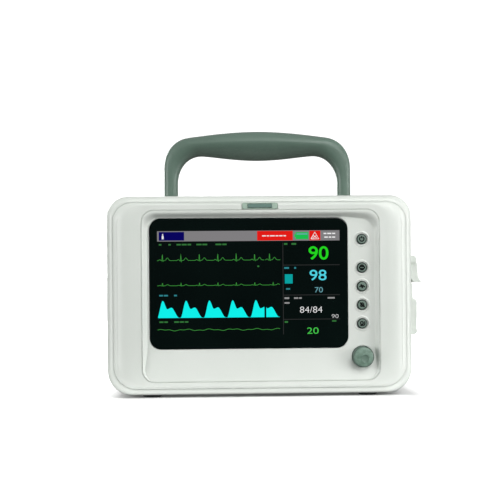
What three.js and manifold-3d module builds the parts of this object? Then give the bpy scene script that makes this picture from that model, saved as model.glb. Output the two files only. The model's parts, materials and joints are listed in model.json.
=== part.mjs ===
// A portable patient monitor with a seven-inch screen, a folding carrying handle and a strip recorder.
// Every separate piece is one named THREE.Mesh, in millimetres with +Z up. The screen faces -Y, so x runs
// to the viewer's right and y runs from the front of the case to the back.
// Pieces are laid out in case coordinates: x = 0 in the middle of the case, y = 0 on its front face and
// z = 0 under its feet. At the end the whole group is moved so that the origin lies under the middle of
// the object.
import * as THREE from "three";
import { mergeVertices } from "three/addons/utils/BufferGeometryUtils.js";
import Module from "manifold-3d";

// Case
const CASE_HALF_WIDTH = 129;
const CASE_TOP = 170;
const CASE_DEPTH = 127;
const FOOT_HEIGHT = 2;
const LOWER_CORNER = 21;
const UPPER_CORNER = 18;
const WALL = 3;
const GAP = 0.3;
const PARTING_Y = 5.5;
const PARTING_INSET = 5.8;
const FLARE_LENGTH = 9;
const WING_WIDTH = 16;
const EDGE_ROUNDING = 3;
const TAPER_START_Y = 96;
const REAR_TAPER = 3.5;
const REAR_ROUNDING = 8;

// Dished panel that holds the screen, the buttons and the knob; below the screen its floor ramps forward
const PAN_LEFT = -99;
const PAN_RIGHT = 100;
const PAN_BOTTOM = 13.8;
const PAN_TOP = 157.2;
const PAN_CORNER = 10.5;
const PAN_DEPTH = 4.8;
const PAN_WALL_SLOPE = { left: 0.96, right: 0.4, top: 1.15, bottom: 0.4 };
const PAN_THICKNESS = 2.5;
const RAMP_TOP = 39.5;
const RAMP_SHALLOW = 0.6;

// Screen, in panel coordinates: v runs up the floor, w runs into the case
const SCREEN_X = -9.5;
const WINDOW = { width: 166.6, height: 109.6, v: 82, corner: 9.7, thickness: 1.5 };
const DISPLAY = { width: 154, height: 88, v: 82.7 };
const LCD = { width: 165, height: 104, thickness: 6, w: 2.9 };

// Controls, in panel coordinates
const CONTROL_X = 85.8;
const BUTTONS = [
  { name: "power_button", v: 118.6 },
  { name: "print_button", v: 94.6 },
  { name: "freeze_button", v: 78.9 },
  { name: "silence_button", v: 63.2 },
  { name: "cuff_button", v: 47.5 },
];
const BUTTON_RADIUS = 4.5;
const BUTTON_RISE = 1.2;
const BUTTON_TRAVEL = 0.8;
const KNOB_V = 19.7;
const KNOB_RADIUS = 9.7;
const KNOB_RISE = 9.5;
const KNOB_TRAVEL = 1.2;
const KNOB_DISH_RADIUS = 12;

// Alarm light on the top edge of the front
const ALARM_HALF_WIDTH = 14.8;
const ALARM_LENS_HALF_WIDTH = 10.1;
const ALARM_Z = 160.6;

// Handle, pivoted in a pocket in the top of the case
const PIVOT_Y = 55;
const PIVOT_Z = 160.5;
const LEG_OUTER_X = 82.3;
const LEG_INNER_X = 71;
const HANDLE_TOP = 230;
const GRIP_BOTTOM = 204.2;
const LEG_HALF_DEPTH = 7;
const GRIP_HALF_DEPTH = 9.8;
const POCKET_HALF_WIDTH = 86;
const POCKET_FRONT = 46;
const POCKET_FLOOR = 149.5;
const PIN_RADIUS = 3;

// Strip recorder in the right-hand side; its paper is as wide as the gap between its side walls
const BAY = { inner: 82.5, front: 28, back: 92, bottom: 48, top: 121, wall: 2 };
const BAY_FLANGE_X = 130.4;
const DOOR_FACE_X = 136.7;
const DOOR_HINGE = { x: 133.5, z: 53.7 };
const DOOR_TOP = 94.8;
const LATCH_HINGE = { x: 133.4, z: 115.6 };
const LATCH_BOTTOM = 95.8;
const LIP_X = 140.8;
const PLATEN = { x: 124.6, z: 87.5, radius: 5 };
const ROLL = { x: 103.5, z: 69, radius: 18, core: 6 };
const GEAR_MODULE = 0.7;
const PLATEN_TEETH = 16;
const PINION_TEETH = 12;
const GEAR_SPACING = 10;
const GEAR_FRONT = 83.6;
const GEAR_BACK = 87.2;

// Connector tray in the left-hand side
const TRAY = { front: 28, back: 94, bottom: 32, top: 136, depth: 8 };
const SOCKET_Y = 61;

// Rear of the case
const BATTERY_X = -30;
const BATTERY_DOOR = { halfWidth: 46, bottom: 16, top: 46, thickness: 3 };
const REAR_PORT_Z = 32;
const INLET_X = 85;
const NETWORK_X = 48;
const GROUND_X = 62;
const SPEAKER = { x: -75, z: 112, radius: 24 };
const SCREW_X = 108;
const SCREW_LEVELS = { lower: 22, upper: 138 };
const FOOT = { x: 92, radius: 8, front: 22, back: 86 };

const FINISHES = {
  casePlastic: { color: 0xe2e7e0, roughness: 0.42, metalness: 0 },
  greenPlastic: { color: 0x5b7165, roughness: 0.55, metalness: 0 },
  knobPlastic: { color: 0x7f9f8e, roughness: 0.5, metalness: 0 },
  lensGreen: { color: 0xaec3b4, roughness: 0.25, metalness: 0 },
  lensDark: { color: 0x6f8a82, roughness: 0.2, metalness: 0 },
  glass: { color: 0x07090a, roughness: 0.08, metalness: 0 },
  blackPlastic: { color: 0x1c1e1f, roughness: 0.5, metalness: 0 },
  greyPlastic: { color: 0x8c9290, roughness: 0.5, metalness: 0 },
  circuitBoard: { color: 0x1f5c3a, roughness: 0.45, metalness: 0 },
  rubber: { color: 0x2b2d2e, roughness: 0.85, metalness: 0 },
  paper: { color: 0xf3f1ea, roughness: 0.9, metalness: 0 },
  steel: { color: 0xb4b8ba, roughness: 0.35, metalness: 1 },
  brass: { color: 0xc9a551, roughness: 0.3, metalness: 1 },
};

const wasm = await Module();
wasm.setup();

// ---------------------------------------------------------------------------------------------
// Geometry helpers
// ---------------------------------------------------------------------------------------------

// A closed geometry as a manifold-3d solid.
function solid(geometry) {
  if (geometry instanceof wasm.Manifold) return geometry;
  const bare = geometry.clone();
  bare.deleteAttribute("normal");
  bare.deleteAttribute("uv");
  const merged = mergeVertices(bare, 1e-4);
  return new wasm.Manifold(
    new wasm.Mesh({
      numProp: 3,
      vertProperties: new Float32Array(merged.getAttribute("position").array),
      triVerts: new Uint32Array(merged.index.array),
    }),
  );
}

// A manifold-3d solid as a flat-shaded geometry.
function geometryOf(made) {
  const mesh = made.getMesh();
  const geometry = new THREE.BufferGeometry();
  geometry.setAttribute("position", new THREE.BufferAttribute(mesh.vertProperties, mesh.numProp));
  geometry.setIndex(new THREE.BufferAttribute(mesh.triVerts, 1));
  const flat = geometry.toNonIndexed();
  flat.computeVertexNormals();
  return flat;
}

function join(...shapes) {
  return shapes.map(solid).reduce((whole, shape) => whole.add(shape));
}

function cut(base, ...tools) {
  return tools.map(solid).reduce((left, tool) => left.subtract(tool), solid(base));
}

function common(a, b) {
  return solid(a).intersect(solid(b));
}

// A mesh of its own material from a geometry or a manifold-3d solid.
function piece(name, shape, finish) {
  const geometry = shape instanceof wasm.Manifold ? geometryOf(shape) : shape;
  const mesh = new THREE.Mesh(geometry, new THREE.MeshStandardMaterial(finish));
  mesh.name = name;
  return mesh;
}

function box(x0, x1, y0, y1, z0, z1) {
  return new THREE.BoxGeometry(x1 - x0, y1 - y0, z1 - z0).translate(
    (x0 + x1) / 2,
    (y0 + y1) / 2,
    (z0 + z1) / 2,
  );
}

// A cylinder along x, y or z from one level to another; (u, v) are its other two coordinates in order.
function rod(axis, radius, from, to, u, v, segments = 24) {
  const geometry = new THREE.CylinderGeometry(radius, radius, to - from, segments);
  const middle = (from + to) / 2;
  if (axis === "x") return geometry.rotateZ(-Math.PI / 2).translate(middle, u, v);
  if (axis === "y") return geometry.translate(u, middle, v);
  return geometry.rotateX(Math.PI / 2).translate(u, v, middle);
}

// A turned shape along x or y. The profile is a list of [radius, distance along the axis] that starts
// on the axis at the lower end and comes back to it at the upper end.
function turned(axis, profile, u, v, segments = 24) {
  const points = profile.map(([radius, along]) => new THREE.Vector2(radius, along));
  const geometry = new THREE.LatheGeometry(points, segments);
  return axis === "x" ? geometry.rotateZ(-Math.PI / 2).translate(0, u, v) : geometry.translate(u, 0, v);
}

// An outline extruded along x, y or z. It is drawn in the other two coordinates: (y, z), (x, z) or (x, y).
function extruded(outline, axis, from, to) {
  const shape = outline instanceof THREE.Shape ? outline : new THREE.Shape(outline);
  const depth = to - from;
  const geometry = new THREE.ExtrudeGeometry(shape, { depth, bevelEnabled: false, curveSegments: 6 });
  if (axis === "x") {
    const turn = new THREE.Matrix4().makeBasis(
      new THREE.Vector3(0, 1, 0),
      new THREE.Vector3(0, 0, 1),
      new THREE.Vector3(1, 0, 0),
    );
    return geometry.applyMatrix4(turn).translate(from, 0, 0);
  }
  if (axis === "y") return geometry.rotateX(Math.PI / 2).translate(0, to, 0);
  return geometry.translate(0, 0, from);
}

// A rounded rectangle as a list of points, anticlockwise, with one radius below and one above.
function roundedOutline(left, right, bottom, top, lower, upper = lower, steps = 5) {
  const corners = [
    { x: right - lower, y: bottom + lower, radius: lower, start: -90 },
    { x: right - upper, y: top - upper, radius: upper, start: 0 },
    { x: left + upper, y: top - upper, radius: upper, start: 90 },
    { x: left + lower, y: bottom + lower, radius: lower, start: 180 },
  ];
  return corners.flatMap(({ x, y, radius, start }) =>
    Array.from({ length: steps + 1 }, (_, i) => {
      const angle = THREE.MathUtils.degToRad(start + (90 * i) / steps);
      return new THREE.Vector2(x + radius * Math.cos(angle), y + radius * Math.sin(angle));
    }),
  );
}

// A closed skin through convex rings of equally many points. Seen along the way from the first ring to
// the last, each ring runs anticlockwise.
function loft(rings) {
  const count = rings[0].length;
  const triangles = [];
  for (let r = 0; r + 1 < rings.length; r++) {
    for (let i = 0; i < count; i++) {
      const a = r * count + i;
      const b = r * count + ((i + 1) % count);
      triangles.push(a, a + count, b, b, a + count, b + count);
    }
  }
  const last = (rings.length - 1) * count;
  for (let i = 1; i + 1 < count; i++) {
    triangles.push(0, i, i + 1, last, last + i + 1, last + i);
  }
  const geometry = new THREE.BufferGeometry().setFromPoints(rings.flat());
  return geometry.setIndex(triangles);
}

// A flat outline of the front view as a ring at depth y.
function ringAt(outline, y) {
  return outline.map((point) => new THREE.Vector3(point.x, y, point.y));
}

// The case seen from the front, drawn in by different amounts at the sides and at the top and bottom.
function caseOutline(sideInset, endInset = sideInset) {
  const shrink = endInset / 4;
  return roundedOutline(
    sideInset - CASE_HALF_WIDTH,
    CASE_HALF_WIDTH - sideInset,
    FOOT_HEIGHT + endInset,
    CASE_TOP - endInset,
    LOWER_CORNER - shrink,
    UPPER_CORNER - shrink,
  );
}

function range(count) {
  return [...Array(count).keys()];
}

// A rounded block along y, for covers, boards' parts and cut-outs.
function roundedBlock(x0, x1, y0, y1, z0, z1, radius, steps = 4) {
  return extruded(roundedOutline(x0, x1, z0, z1, radius, radius, steps), "y", y0, y1);
}

// ---------------------------------------------------------------------------------------------
// Front: bezel, screen and alarm light
// ---------------------------------------------------------------------------------------------

// Places a shape given in panel coordinates (x, w, v) in the case.
function onPanel(shape) {
  return shape.translate(0, PAN_DEPTH, PAN_BOTTOM);
}

// The dished hollow, grown sideways by `margin` and backwards by `thickness`.
function panPlug(frontY, margin, thickness) {
  const outline = roundedOutline(
    PAN_LEFT - margin,
    PAN_RIGHT + margin,
    PAN_BOTTOM - margin,
    PAN_TOP + margin,
    PAN_CORNER + margin,
  );
  const { left, right, top, bottom } = PAN_WALL_SLOPE;
  const middle = (PAN_BOTTOM + PAN_TOP) / 2;
  const floor = outline.map(({ x, y }) => {
    const insetX = PAN_DEPTH * (x < 0 ? left : -right);
    const insetZ = PAN_DEPTH * (y < middle ? bottom : -top);
    return new THREE.Vector3(x + insetX, PAN_DEPTH + thickness, y + insetZ);
  });
  const plug = loft([ringAt(outline, frontY), ringAt(outline, 0.01), floor]);
  return cut(plug, behindRamp(thickness));
}

// Everything behind the ramp that joins the panel floor to the bottom edge.
function behindRamp(thickness) {
  const slope = (PAN_DEPTH - RAMP_SHALLOW) / (RAMP_TOP - PAN_BOTTOM);
  const groundY = RAMP_SHALLOW + thickness - PAN_BOTTOM * slope;
  const back = 20;
  const profile = [
    [groundY, 0],
    [back, 0],
    [back, RAMP_TOP],
    [PAN_DEPTH + thickness, RAMP_TOP],
  ].map(([y, z]) => new THREE.Vector2(y, z));
  return extruded(profile, "x", -CASE_HALF_WIDTH, CASE_HALF_WIDTH);
}

function frontBezel() {
  const arc = range(5).map((i) => (i * Math.PI) / 8).reverse();
  const rings = arc.map((angle) => {
    const roll = 1 - Math.cos(angle);
    const outline = caseOutline(
      PARTING_INSET + WING_WIDTH * roll,
      PARTING_INSET + EDGE_ROUNDING * roll,
    );
    return ringAt(outline, PARTING_Y * (1 - Math.sin(angle)));
  });
  const block = loft(rings);
  const skirt = cut(
    extruded(caseOutline(9.2), "y", 2.5, 11),
    extruded(caseOutline(10.8), "y", 2, 12),
  );
  const hollow = extruded(caseOutline(10.8), "y", 2.8, 12);
  const tub = common(panPlug(1, 2.2, PAN_THICKNESS), box(-140, 140, 1, 20, 0, 180));
  const pillars = [-SCREW_X, SCREW_X].flatMap((x) =>
    Object.values(SCREW_LEVELS).map((z) =>
      cut(rod("y", 4, 2, 98, x, z, 12), rod("y", 1.8, 82, 99, x, z, 8)),
    ),
  );
  const knobBoss = onPanel(rod("y", KNOB_DISH_RADIUS + 2.5, -3, 5, CONTROL_X, KNOB_V, 24));
  const body = join(cut(block, hollow), skirt, tub, knobBoss, ...pillars);
  return cut(
    body,
    panPlug(-3, 0, 0),
    ...windowCuts(),
    ...controlCuts(),
    box(-ALARM_HALF_WIDTH - GAP, ALARM_HALF_WIDTH + GAP, -1, 1.6, ALARM_Z - 2.9, ALARM_Z + 2.9),
    box(
      -ALARM_LENS_HALF_WIDTH - GAP,
      ALARM_LENS_HALF_WIDTH + GAP,
      1,
      14,
      ALARM_Z - 2.4,
      ALARM_Z + 2.4,
    ),
  );
}

// The rebate for the window and the opening for the display behind it.
function windowCuts() {
  const halfWidth = WINDOW.width / 2 + GAP;
  const halfHeight = WINDOW.height / 2 + GAP;
  const rebate = roundedBlock(
    SCREEN_X - halfWidth,
    SCREEN_X + halfWidth,
    -1.5,
    WINDOW.thickness + GAP,
    WINDOW.v - halfHeight,
    WINDOW.v + halfHeight,
    WINDOW.corner,
  );
  const opening = box(
    SCREEN_X - DISPLAY.width / 2 - 1,
    SCREEN_X + DISPLAY.width / 2 + 1,
    0,
    8,
    DISPLAY.v - DISPLAY.height / 2 - 1,
    DISPLAY.v + DISPLAY.height / 2 + 1,
  );
  return [onPanel(rebate), onPanel(opening)];
}

// Button holes, and the flat dish, well and bush hole for the knob.
function controlCuts() {
  const holes = BUTTONS.map(({ v }) => rod("y", BUTTON_RADIUS + GAP, -2, 6, CONTROL_X, v, 18));
  const dish = rod("y", KNOB_DISH_RADIUS, -8, 0, CONTROL_X, KNOB_V, 32);
  const well = rod("y", KNOB_RADIUS + 0.4, -1, 3.2, CONTROL_X, KNOB_V, 24);
  const bushHole = rod("y", 4.8, 0, 8, CONTROL_X, KNOB_V, 14);
  return [...holes, dish, well, bushHole].map(onPanel);
}

function screenWindow() {
  const { width, height, v, corner, thickness } = WINDOW;
  return roundedBlock(
    SCREEN_X - width / 2,
    SCREEN_X + width / 2,
    0,
    thickness,
    v - height / 2,
    v + height / 2,
    corner,
  );
}

// The display module: a framed panel with its backlight cable tail.
function lcdModule() {
  const { width, height, thickness, w } = LCD;
  const body = box(
    SCREEN_X - width / 2,
    SCREEN_X + width / 2,
    w,
    w + thickness,
    DISPLAY.v - height / 2,
    DISPLAY.v + height / 2,
  );
  const tail = box(SCREEN_X - 20, SCREEN_X + 20, w + thickness - 1, w + thickness + 0.8, 34, 60);
  return join(body, tail);
}

// The pale trim of the alarm light, with a slot for the lens.
function alarmTrim() {
  const outline = roundedOutline(-ALARM_HALF_WIDTH, ALARM_HALF_WIDTH, ALARM_Z - 2.6, ALARM_Z + 2.6, 1.6);
  return cut(
    extruded(outline, "y", -0.4, 1.3),
    box(
      -ALARM_LENS_HALF_WIDTH - GAP,
      ALARM_LENS_HALF_WIDTH + GAP,
      -1,
      2,
      ALARM_Z - 1.9,
      ALARM_Z + 1.9,
    ),
  );
}

function alarmLens() {
  const halfHeight = 1.6;
  return extruded(
    roundedOutline(
      -ALARM_LENS_HALF_WIDTH,
      ALARM_LENS_HALF_WIDTH,
      ALARM_Z - halfHeight,
      ALARM_Z + halfHeight,
      0.8,
      0.8,
      3,
    ),
    "y",
    -0.7,
    5.2,
  );
}

function alarmBoard() {
  const board = box(-20, 20, 13, 14.6, 150, 165);
  const lamps = [-7, 0, 7].map((x) => rod("y", 1.4, 9, 13.5, x, ALARM_Z, 12));
  return join(board, ...lamps);
}

// ---------------------------------------------------------------------------------------------
// Controls
// ---------------------------------------------------------------------------------------------

// A push button: a slightly domed cap, a flange that keeps it behind the panel, and a stem.
function pushButton(v) {
  const stemEnd = 6.9;
  const flange = PAN_THICKNESS + GAP;
  return turned(
    "y",
    [
      [0, -BUTTON_RISE],
      [BUTTON_RADIUS - 0.7, -BUTTON_RISE + 0.15],
      [BUTTON_RADIUS, -BUTTON_RISE + 0.8],
      [BUTTON_RADIUS, flange],
      [BUTTON_RADIUS + 1.3, flange],
      [BUTTON_RADIUS + 1.3, flange + 0.9],
      [2, flange + 0.9],
      [2, stemEnd],
      [0, stemEnd],
    ],
    CONTROL_X,
    v,
    18,
  );
}

// The board behind the buttons, with one switch behind each stem.
function keySwitchBoard() {
  const face = 9.4;
  const board = box(CONTROL_X - 9, CONTROL_X + 8, face, face + 1.6, 36, 132);
  const switches = BUTTONS.map(({ v }) =>
    box(CONTROL_X - 3, CONTROL_X + 3, 6.9 + BUTTON_TRAVEL + GAP, face + 0.5, v - 3, v + 3),
  );
  return join(board, ...switches);
}

// The knob: a gripped cap with an off-centre finger dimple and a blind bore for the shaft.
function encoderKnob() {
  const body = turned(
    "y",
    [
      [0, -KNOB_RISE],
      [KNOB_RADIUS - 2.4, -KNOB_RISE],
      [KNOB_RADIUS - 0.9, -KNOB_RISE + 0.5],
      [KNOB_RADIUS - 0.3, -KNOB_RISE + 1.8],
      [KNOB_RADIUS, 1.6],
      [0, 1.6],
    ],
    CONTROL_X,
    KNOB_V,
    24,
  );
  const dimple = new THREE.SphereGeometry(5, 16, 10).translate(
    CONTROL_X + 2.1,
    -KNOB_RISE - 4,
    KNOB_V - 1,
  );
  return cut(body, dimple, rod("y", 3.3, -5, 3, CONTROL_X, KNOB_V, 12));
}

// The shaft turns with the rotor and slides through it.
function encoderShaft() {
  return rod("y", 3, -4.7, 10.2, CONTROL_X, KNOB_V, 12);
}

function encoderRotor() {
  return cut(
    rod("y", 4.9, 7.2, 9.2, CONTROL_X, KNOB_V, 16),
    rod("y", 3.3, 7, 10, CONTROL_X, KNOB_V, 12),
  );
}

function encoderBody() {
  const back = 12.3;
  const half = 6.2;
  const bush = rod("y", 4.5, 3.5, 6, CONTROL_X, KNOB_V, 14);
  const housing = box(
    CONTROL_X - half,
    CONTROL_X + half,
    5.3,
    back,
    KNOB_V - half,
    KNOB_V + half,
  );
  return cut(
    join(bush, housing),
    rod("y", 3.3, 3, 8, CONTROL_X, KNOB_V, 12),
    rod("y", 5.2, 6.8, back + 1, CONTROL_X, KNOB_V, 16),
  );
}

// ---------------------------------------------------------------------------------------------
// Rear housing
// ---------------------------------------------------------------------------------------------

// The outside of the housing: a shoulder that flares from the parting line, then straight sides, and a
// taper that rounds into the back.
function housingBlock() {
  const front = PARTING_Y + GAP;
  const flare = range(5).map((i) => {
    const angle = (i * Math.PI) / 8;
    const inset = PARTING_INSET * (1 - Math.sin(angle));
    return ringAt(caseOutline(inset), front + FLARE_LENGTH * (1 - Math.cos(angle)));
  });
  const rounding = range(4).map((i) => {
    const angle = (i * Math.PI) / 6;
    const inset = REAR_TAPER + REAR_ROUNDING * (1 - Math.cos(angle));
    return ringAt(caseOutline(inset), CASE_DEPTH - REAR_ROUNDING * (1 - Math.sin(angle)));
  });
  return loft([...flare, ringAt(caseOutline(0), TAPER_START_Y), ...rounding]);
}

function housingHollow() {
  const shoulder = PARTING_Y + FLARE_LENGTH;
  return loft([
    ringAt(caseOutline(PARTING_INSET + WALL), PARTING_Y - 1),
    ringAt(caseOutline(WALL), shoulder),
    ringAt(caseOutline(WALL), TAPER_START_Y),
    ringAt(caseOutline(WALL + REAR_TAPER), CASE_DEPTH - REAR_ROUNDING),
    ringAt(caseOutline(WALL + REAR_TAPER + 5), CASE_DEPTH - WALL),
  ]);
}

// The pocket that the handle folds into, open at the top and the back.
function handlePocket(margin) {
  return extruded(
    roundedOutline(
      POCKET_FRONT - margin,
      CASE_DEPTH + 20,
      POCKET_FLOOR - margin,
      CASE_TOP + 20,
      6,
    ),
    "x",
    -POCKET_HALF_WIDTH - margin,
    POCKET_HALF_WIDTH + margin,
  );
}

// Rows of upright slots through the back wall.
function slots(count, pitch, x, bottom, top) {
  return range(count).map((i) => {
    const left = x + (i - (count - 1) / 2) * pitch - 1.2;
    return roundedBlock(left, left + 2.4, CASE_DEPTH - WALL - 2, CASE_DEPTH + 1, bottom, top, 1.1, 2);
  });
}

function rearHousing() {
  const lining = handlePocket(WALL);
  const shell = cut(housingBlock(), cut(housingHollow(), lining), handlePocket(0));
  const pinHoles = [-1, 1].map((side) => {
    const [from, to] = [side * POCKET_HALF_WIDTH, side * (POCKET_HALF_WIDTH + WALL)].sort((a, b) => a - b);
    return rod("x", PIN_RADIUS + GAP, from - 1, to + 1, PIVOT_Y, PIVOT_Z, 14);
  });
  const recorderHole = box(
    110,
    150,
    BAY.front - GAP,
    BAY.back + GAP,
    BAY.bottom - GAP,
    BAY.top + GAP,
  );
  const trayHole = extruded(
    roundedOutline(TRAY.front - GAP, TRAY.back + GAP, TRAY.bottom - GAP, TRAY.top + GAP, 8),
    "x",
    -150,
    -110,
  );
  const footRecesses = footPlaces().map(({ x, y }) =>
    rod("z", FOOT.radius + GAP, 0, FOOT_HEIGHT + 1.5, x, y, 18),
  );
  const screwHoles = [-SCREW_X, SCREW_X].flatMap((x) =>
    Object.values(SCREW_LEVELS).flatMap((z) => [
      rod("y", 1.8, 110, 130, x, z, 8),
      rod("y", 3.7, CASE_DEPTH - 2, 130, x, z, 14),
    ]),
  );
  return cut(
    shell,
    ...pinHoles,
    recorderHole,
    trayHole,
    ...footRecesses,
    ...screwHoles,
    ...rearCuts(),
  );
}

// Openings in the back wall for the battery door, the ports and the speaker.
function rearCuts() {
  const { halfWidth, bottom, top, thickness } = BATTERY_DOOR;
  const left = BATTERY_X - halfWidth - GAP;
  const right = BATTERY_X + halfWidth + GAP;
  const batteryHole = box(left, right, CASE_DEPTH - 10, CASE_DEPTH + 2, bottom - GAP, top + GAP);
  const hingeHoles = rod(
    "x",
    1.1,
    left - 2.5,
    right + 2.5,
    CASE_DEPTH - 0.2 - thickness / 2,
    bottom + thickness / 2,
    12,
  );
  return [
    batteryHole,
    hingeHoles,
    box(INLET_X - 14, INLET_X + 14, 110, 130, REAR_PORT_Z - 10.4, REAR_PORT_Z + 10.4),
    box(NETWORK_X - 8.2, NETWORK_X + 8.2, 110, 130, REAR_PORT_Z - 7, REAR_PORT_Z + 7),
    rod("y", 4.3, 110, 130, GROUND_X, REAR_PORT_Z, 16),
    ...slots(7, 6, SPEAKER.x, SPEAKER.z - 16, SPEAKER.z + 16),
    ...slots(8, 8, 64, 104, 132),
  ];
}

function footPlaces() {
  return [
    { name: "foot_front_left", x: -FOOT.x, y: FOOT.front },
    { name: "foot_front_right", x: FOOT.x, y: FOOT.front },
    { name: "foot_rear_left", x: -FOOT.x, y: FOOT.back },
    { name: "foot_rear_right", x: FOOT.x, y: FOOT.back },
  ];
}

function foot(x, y) {
  const pad = new THREE.CylinderGeometry(FOOT.radius, FOOT.radius - 0.8, 1.2, 18);
  return join(
    pad.rotateX(Math.PI / 2).translate(x, y, 0.6),
    rod("z", FOOT.radius, 1.2, FOOT_HEIGHT + 1.2, x, y, 18),
  );
}

// A screw from the back into a pillar of the bezel, with a cross recess in its head.
function caseScrew(x, z) {
  const head = rod("y", 3.4, CASE_DEPTH - 1.7, CASE_DEPTH - 0.3, x, z, 14);
  const shank = rod("y", 1.5, 88, CASE_DEPTH - 1.5, x, z, 8);
  return cut(
    join(head, shank),
    box(x - 0.4, x + 0.4, CASE_DEPTH - 1, CASE_DEPTH, z - 2, z + 2),
    box(x - 2, x + 2, CASE_DEPTH - 1, CASE_DEPTH, z - 0.4, z + 0.4),
  );
}

// ---------------------------------------------------------------------------------------------
// Handle
// ---------------------------------------------------------------------------------------------

// One half of the handle as pairs of edge points, from the pivot up the leg to the middle of the grip.
function handleEdges(outward) {
  const side = outward ? LEG_OUTER_X : LEG_INNER_X;
  const bend = outward ? 197 : 184;
  const shoulder = outward ? [60.6, 224.8] : [48.5, 208.2];
  const middle = outward ? HANDLE_TOP : GRIP_BOTTOM;
  const leg = new THREE.LineCurve(new THREE.Vector2(-side, PIVOT_Z), new THREE.Vector2(-side, bend));
  const corner = new THREE.CubicBezierCurve(
    new THREE.Vector2(-side, bend),
    new THREE.Vector2(-side, outward ? 212 : 196),
    outward ? new THREE.Vector2(-74, 223) : new THREE.Vector2(-63, 208.6),
    new THREE.Vector2(-shoulder[0], shoulder[1]),
  );
  const grip = new THREE.CubicBezierCurve(
    new THREE.Vector2(-shoulder[0], shoulder[1]),
    outward ? new THREE.Vector2(-50, 226.2) : new THREE.Vector2(-38, 207.6),
    outward ? new THREE.Vector2(-25, middle) : new THREE.Vector2(-20, middle),
    new THREE.Vector2(0, middle),
  );
  return [
    ...leg.getPoints(2),
    ...corner.getPoints(7).slice(1),
    ...grip.getPoints(4).slice(1),
  ];
}

// One closed section of the handle between an outer and an inner edge point.
function handleRing(outer, inner, halfDepth) {
  const sides = 12;
  const squareness = 2 / 2.7;
  return range(sides).map((i) => {
    const angle = (2 * Math.PI * i) / sides;
    const across = Math.sign(Math.cos(angle)) * Math.abs(Math.cos(angle)) ** squareness;
    const along = Math.sign(Math.sin(angle)) * Math.abs(Math.sin(angle)) ** squareness;
    return new THREE.Vector3(
      (outer.x + inner.x) / 2 + ((outer.x - inner.x) / 2) * across,
      PIVOT_Y + halfDepth * along,
      (outer.y + inner.y) / 2 + ((outer.y - inner.y) / 2) * across,
    );
  });
}

function handle() {
  const outer = handleEdges(true);
  const inner = handleEdges(false);
  const half = outer.map((point, i) => {
    const share = THREE.MathUtils.smoothstep(i, 3, outer.length - 3);
    const halfDepth = THREE.MathUtils.lerp(LEG_HALF_DEPTH, GRIP_HALF_DEPTH, share);
    return { outer: point, inner: inner[i], halfDepth };
  });
  const mirrored = half.slice(0, -1).reverse().map((place) => ({
    outer: new THREE.Vector2(-place.outer.x, place.outer.y),
    inner: new THREE.Vector2(-place.inner.x, place.inner.y),
    halfDepth: place.halfDepth,
  }));
  const bow = loft([...half, ...mirrored].map((p) => handleRing(p.outer, p.inner, p.halfDepth)));
  const eyes = [-1, 1].map((side) => {
    const [from, to] = [side * LEG_INNER_X, side * LEG_OUTER_X].sort((a, b) => a - b);
    return rod("x", LEG_HALF_DEPTH, from, to, PIVOT_Y, PIVOT_Z, 20);
  });
  const bores = [-1, 1].map((side) => {
    const [from, to] = [side * 73, side * (LEG_OUTER_X + 2)].sort((a, b) => a - b);
    return rod("x", PIN_RADIUS + GAP, from, to, PIVOT_Y, PIVOT_Z, 14);
  });
  return cut(join(bow, ...eyes), ...bores);
}

// A headed pin from inside the case, through the pocket wall and into the leg; side is -1 or 1.
function handlePin(side) {
  const shank = rod("x", PIN_RADIUS, 73.5, 91, PIVOT_Y, PIVOT_Z, 14);
  const head = rod("x", PIN_RADIUS + 2, POCKET_HALF_WIDTH + WALL + GAP, 92, PIVOT_Y, PIVOT_Z, 14);
  return mirroredTo(side, join(shank, head));
}

function handleWasher(side) {
  const [from, to] = [LEG_OUTER_X + GAP, POCKET_HALF_WIDTH - GAP];
  return mirroredTo(
    side,
    cut(
      rod("x", LEG_HALF_DEPTH, from, to, PIVOT_Y, PIVOT_Z, 18),
      rod("x", PIN_RADIUS + GAP, from - 1, to + 1, PIVOT_Y, PIVOT_Z, 12),
    ),
  );
}

// A solid given on the right-hand side, or its mirror image on the left.
function mirroredTo(side, shape) {
  return side > 0 ? shape : shape.mirror([1, 0, 0]);
}

// ---------------------------------------------------------------------------------------------
// Strip recorder
// ---------------------------------------------------------------------------------------------

// The moulded bay: a box open to the side with a flange round its mouth and ears for both hinges.
function recorderBay() {
  const { inner, front, back, bottom, top, wall } = BAY;
  const tub = box(inner, BAY_FLANGE_X, front, back, bottom, top);
  const flange = extruded(
    roundedOutline(front - 2.5, back + 2.5, bottom - 2.5, top + 2.5, 5),
    "x",
    CASE_HALF_WIDTH + GAP,
    BAY_FLANGE_X,
  );
  const ears = [front, back - wall].flatMap((y) => [
    hingeEar(DOOR_HINGE, 3.2, y, y + wall),
    hingeEar(LATCH_HINGE, 3, y, y + wall),
  ]);
  const cavity = box(inner + wall, 150, front + wall, back - wall, bottom + wall, top - wall);
  const pins = [DOOR_HINGE, LATCH_HINGE].map(({ x, z }) =>
    rod("y", 1.3, front - 1, back + 1, x, z, 12),
  );
  const shaftHole = rod("y", 1.6, back - wall - 1, back + 1, pinionCentre().x, pinionCentre().z, 12);
  return cut(join(cut(join(tub, flange), cavity), ...ears), ...pins, shaftHole);
}

// A rounded lug from the bay's flange out to a hinge.
function hingeEar({ x, z }, radius, from, to) {
  return join(
    rod("y", radius, from, to, x, z, 20),
    box(BAY_FLANGE_X - 2, x, from, to, z - radius, z + radius),
  );
}

// The pinion meshes on the side away from the way the opening door carries the platen gear.
function pinionCentre() {
  const reach = new THREE.Vector2(PLATEN.x - DOOR_HINGE.x, PLATEN.z - DOOR_HINGE.z).normalize();
  return {
    x: PLATEN.x - GEAR_SPACING * reach.y,
    z: PLATEN.z + GEAR_SPACING * reach.x,
  };
}

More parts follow.
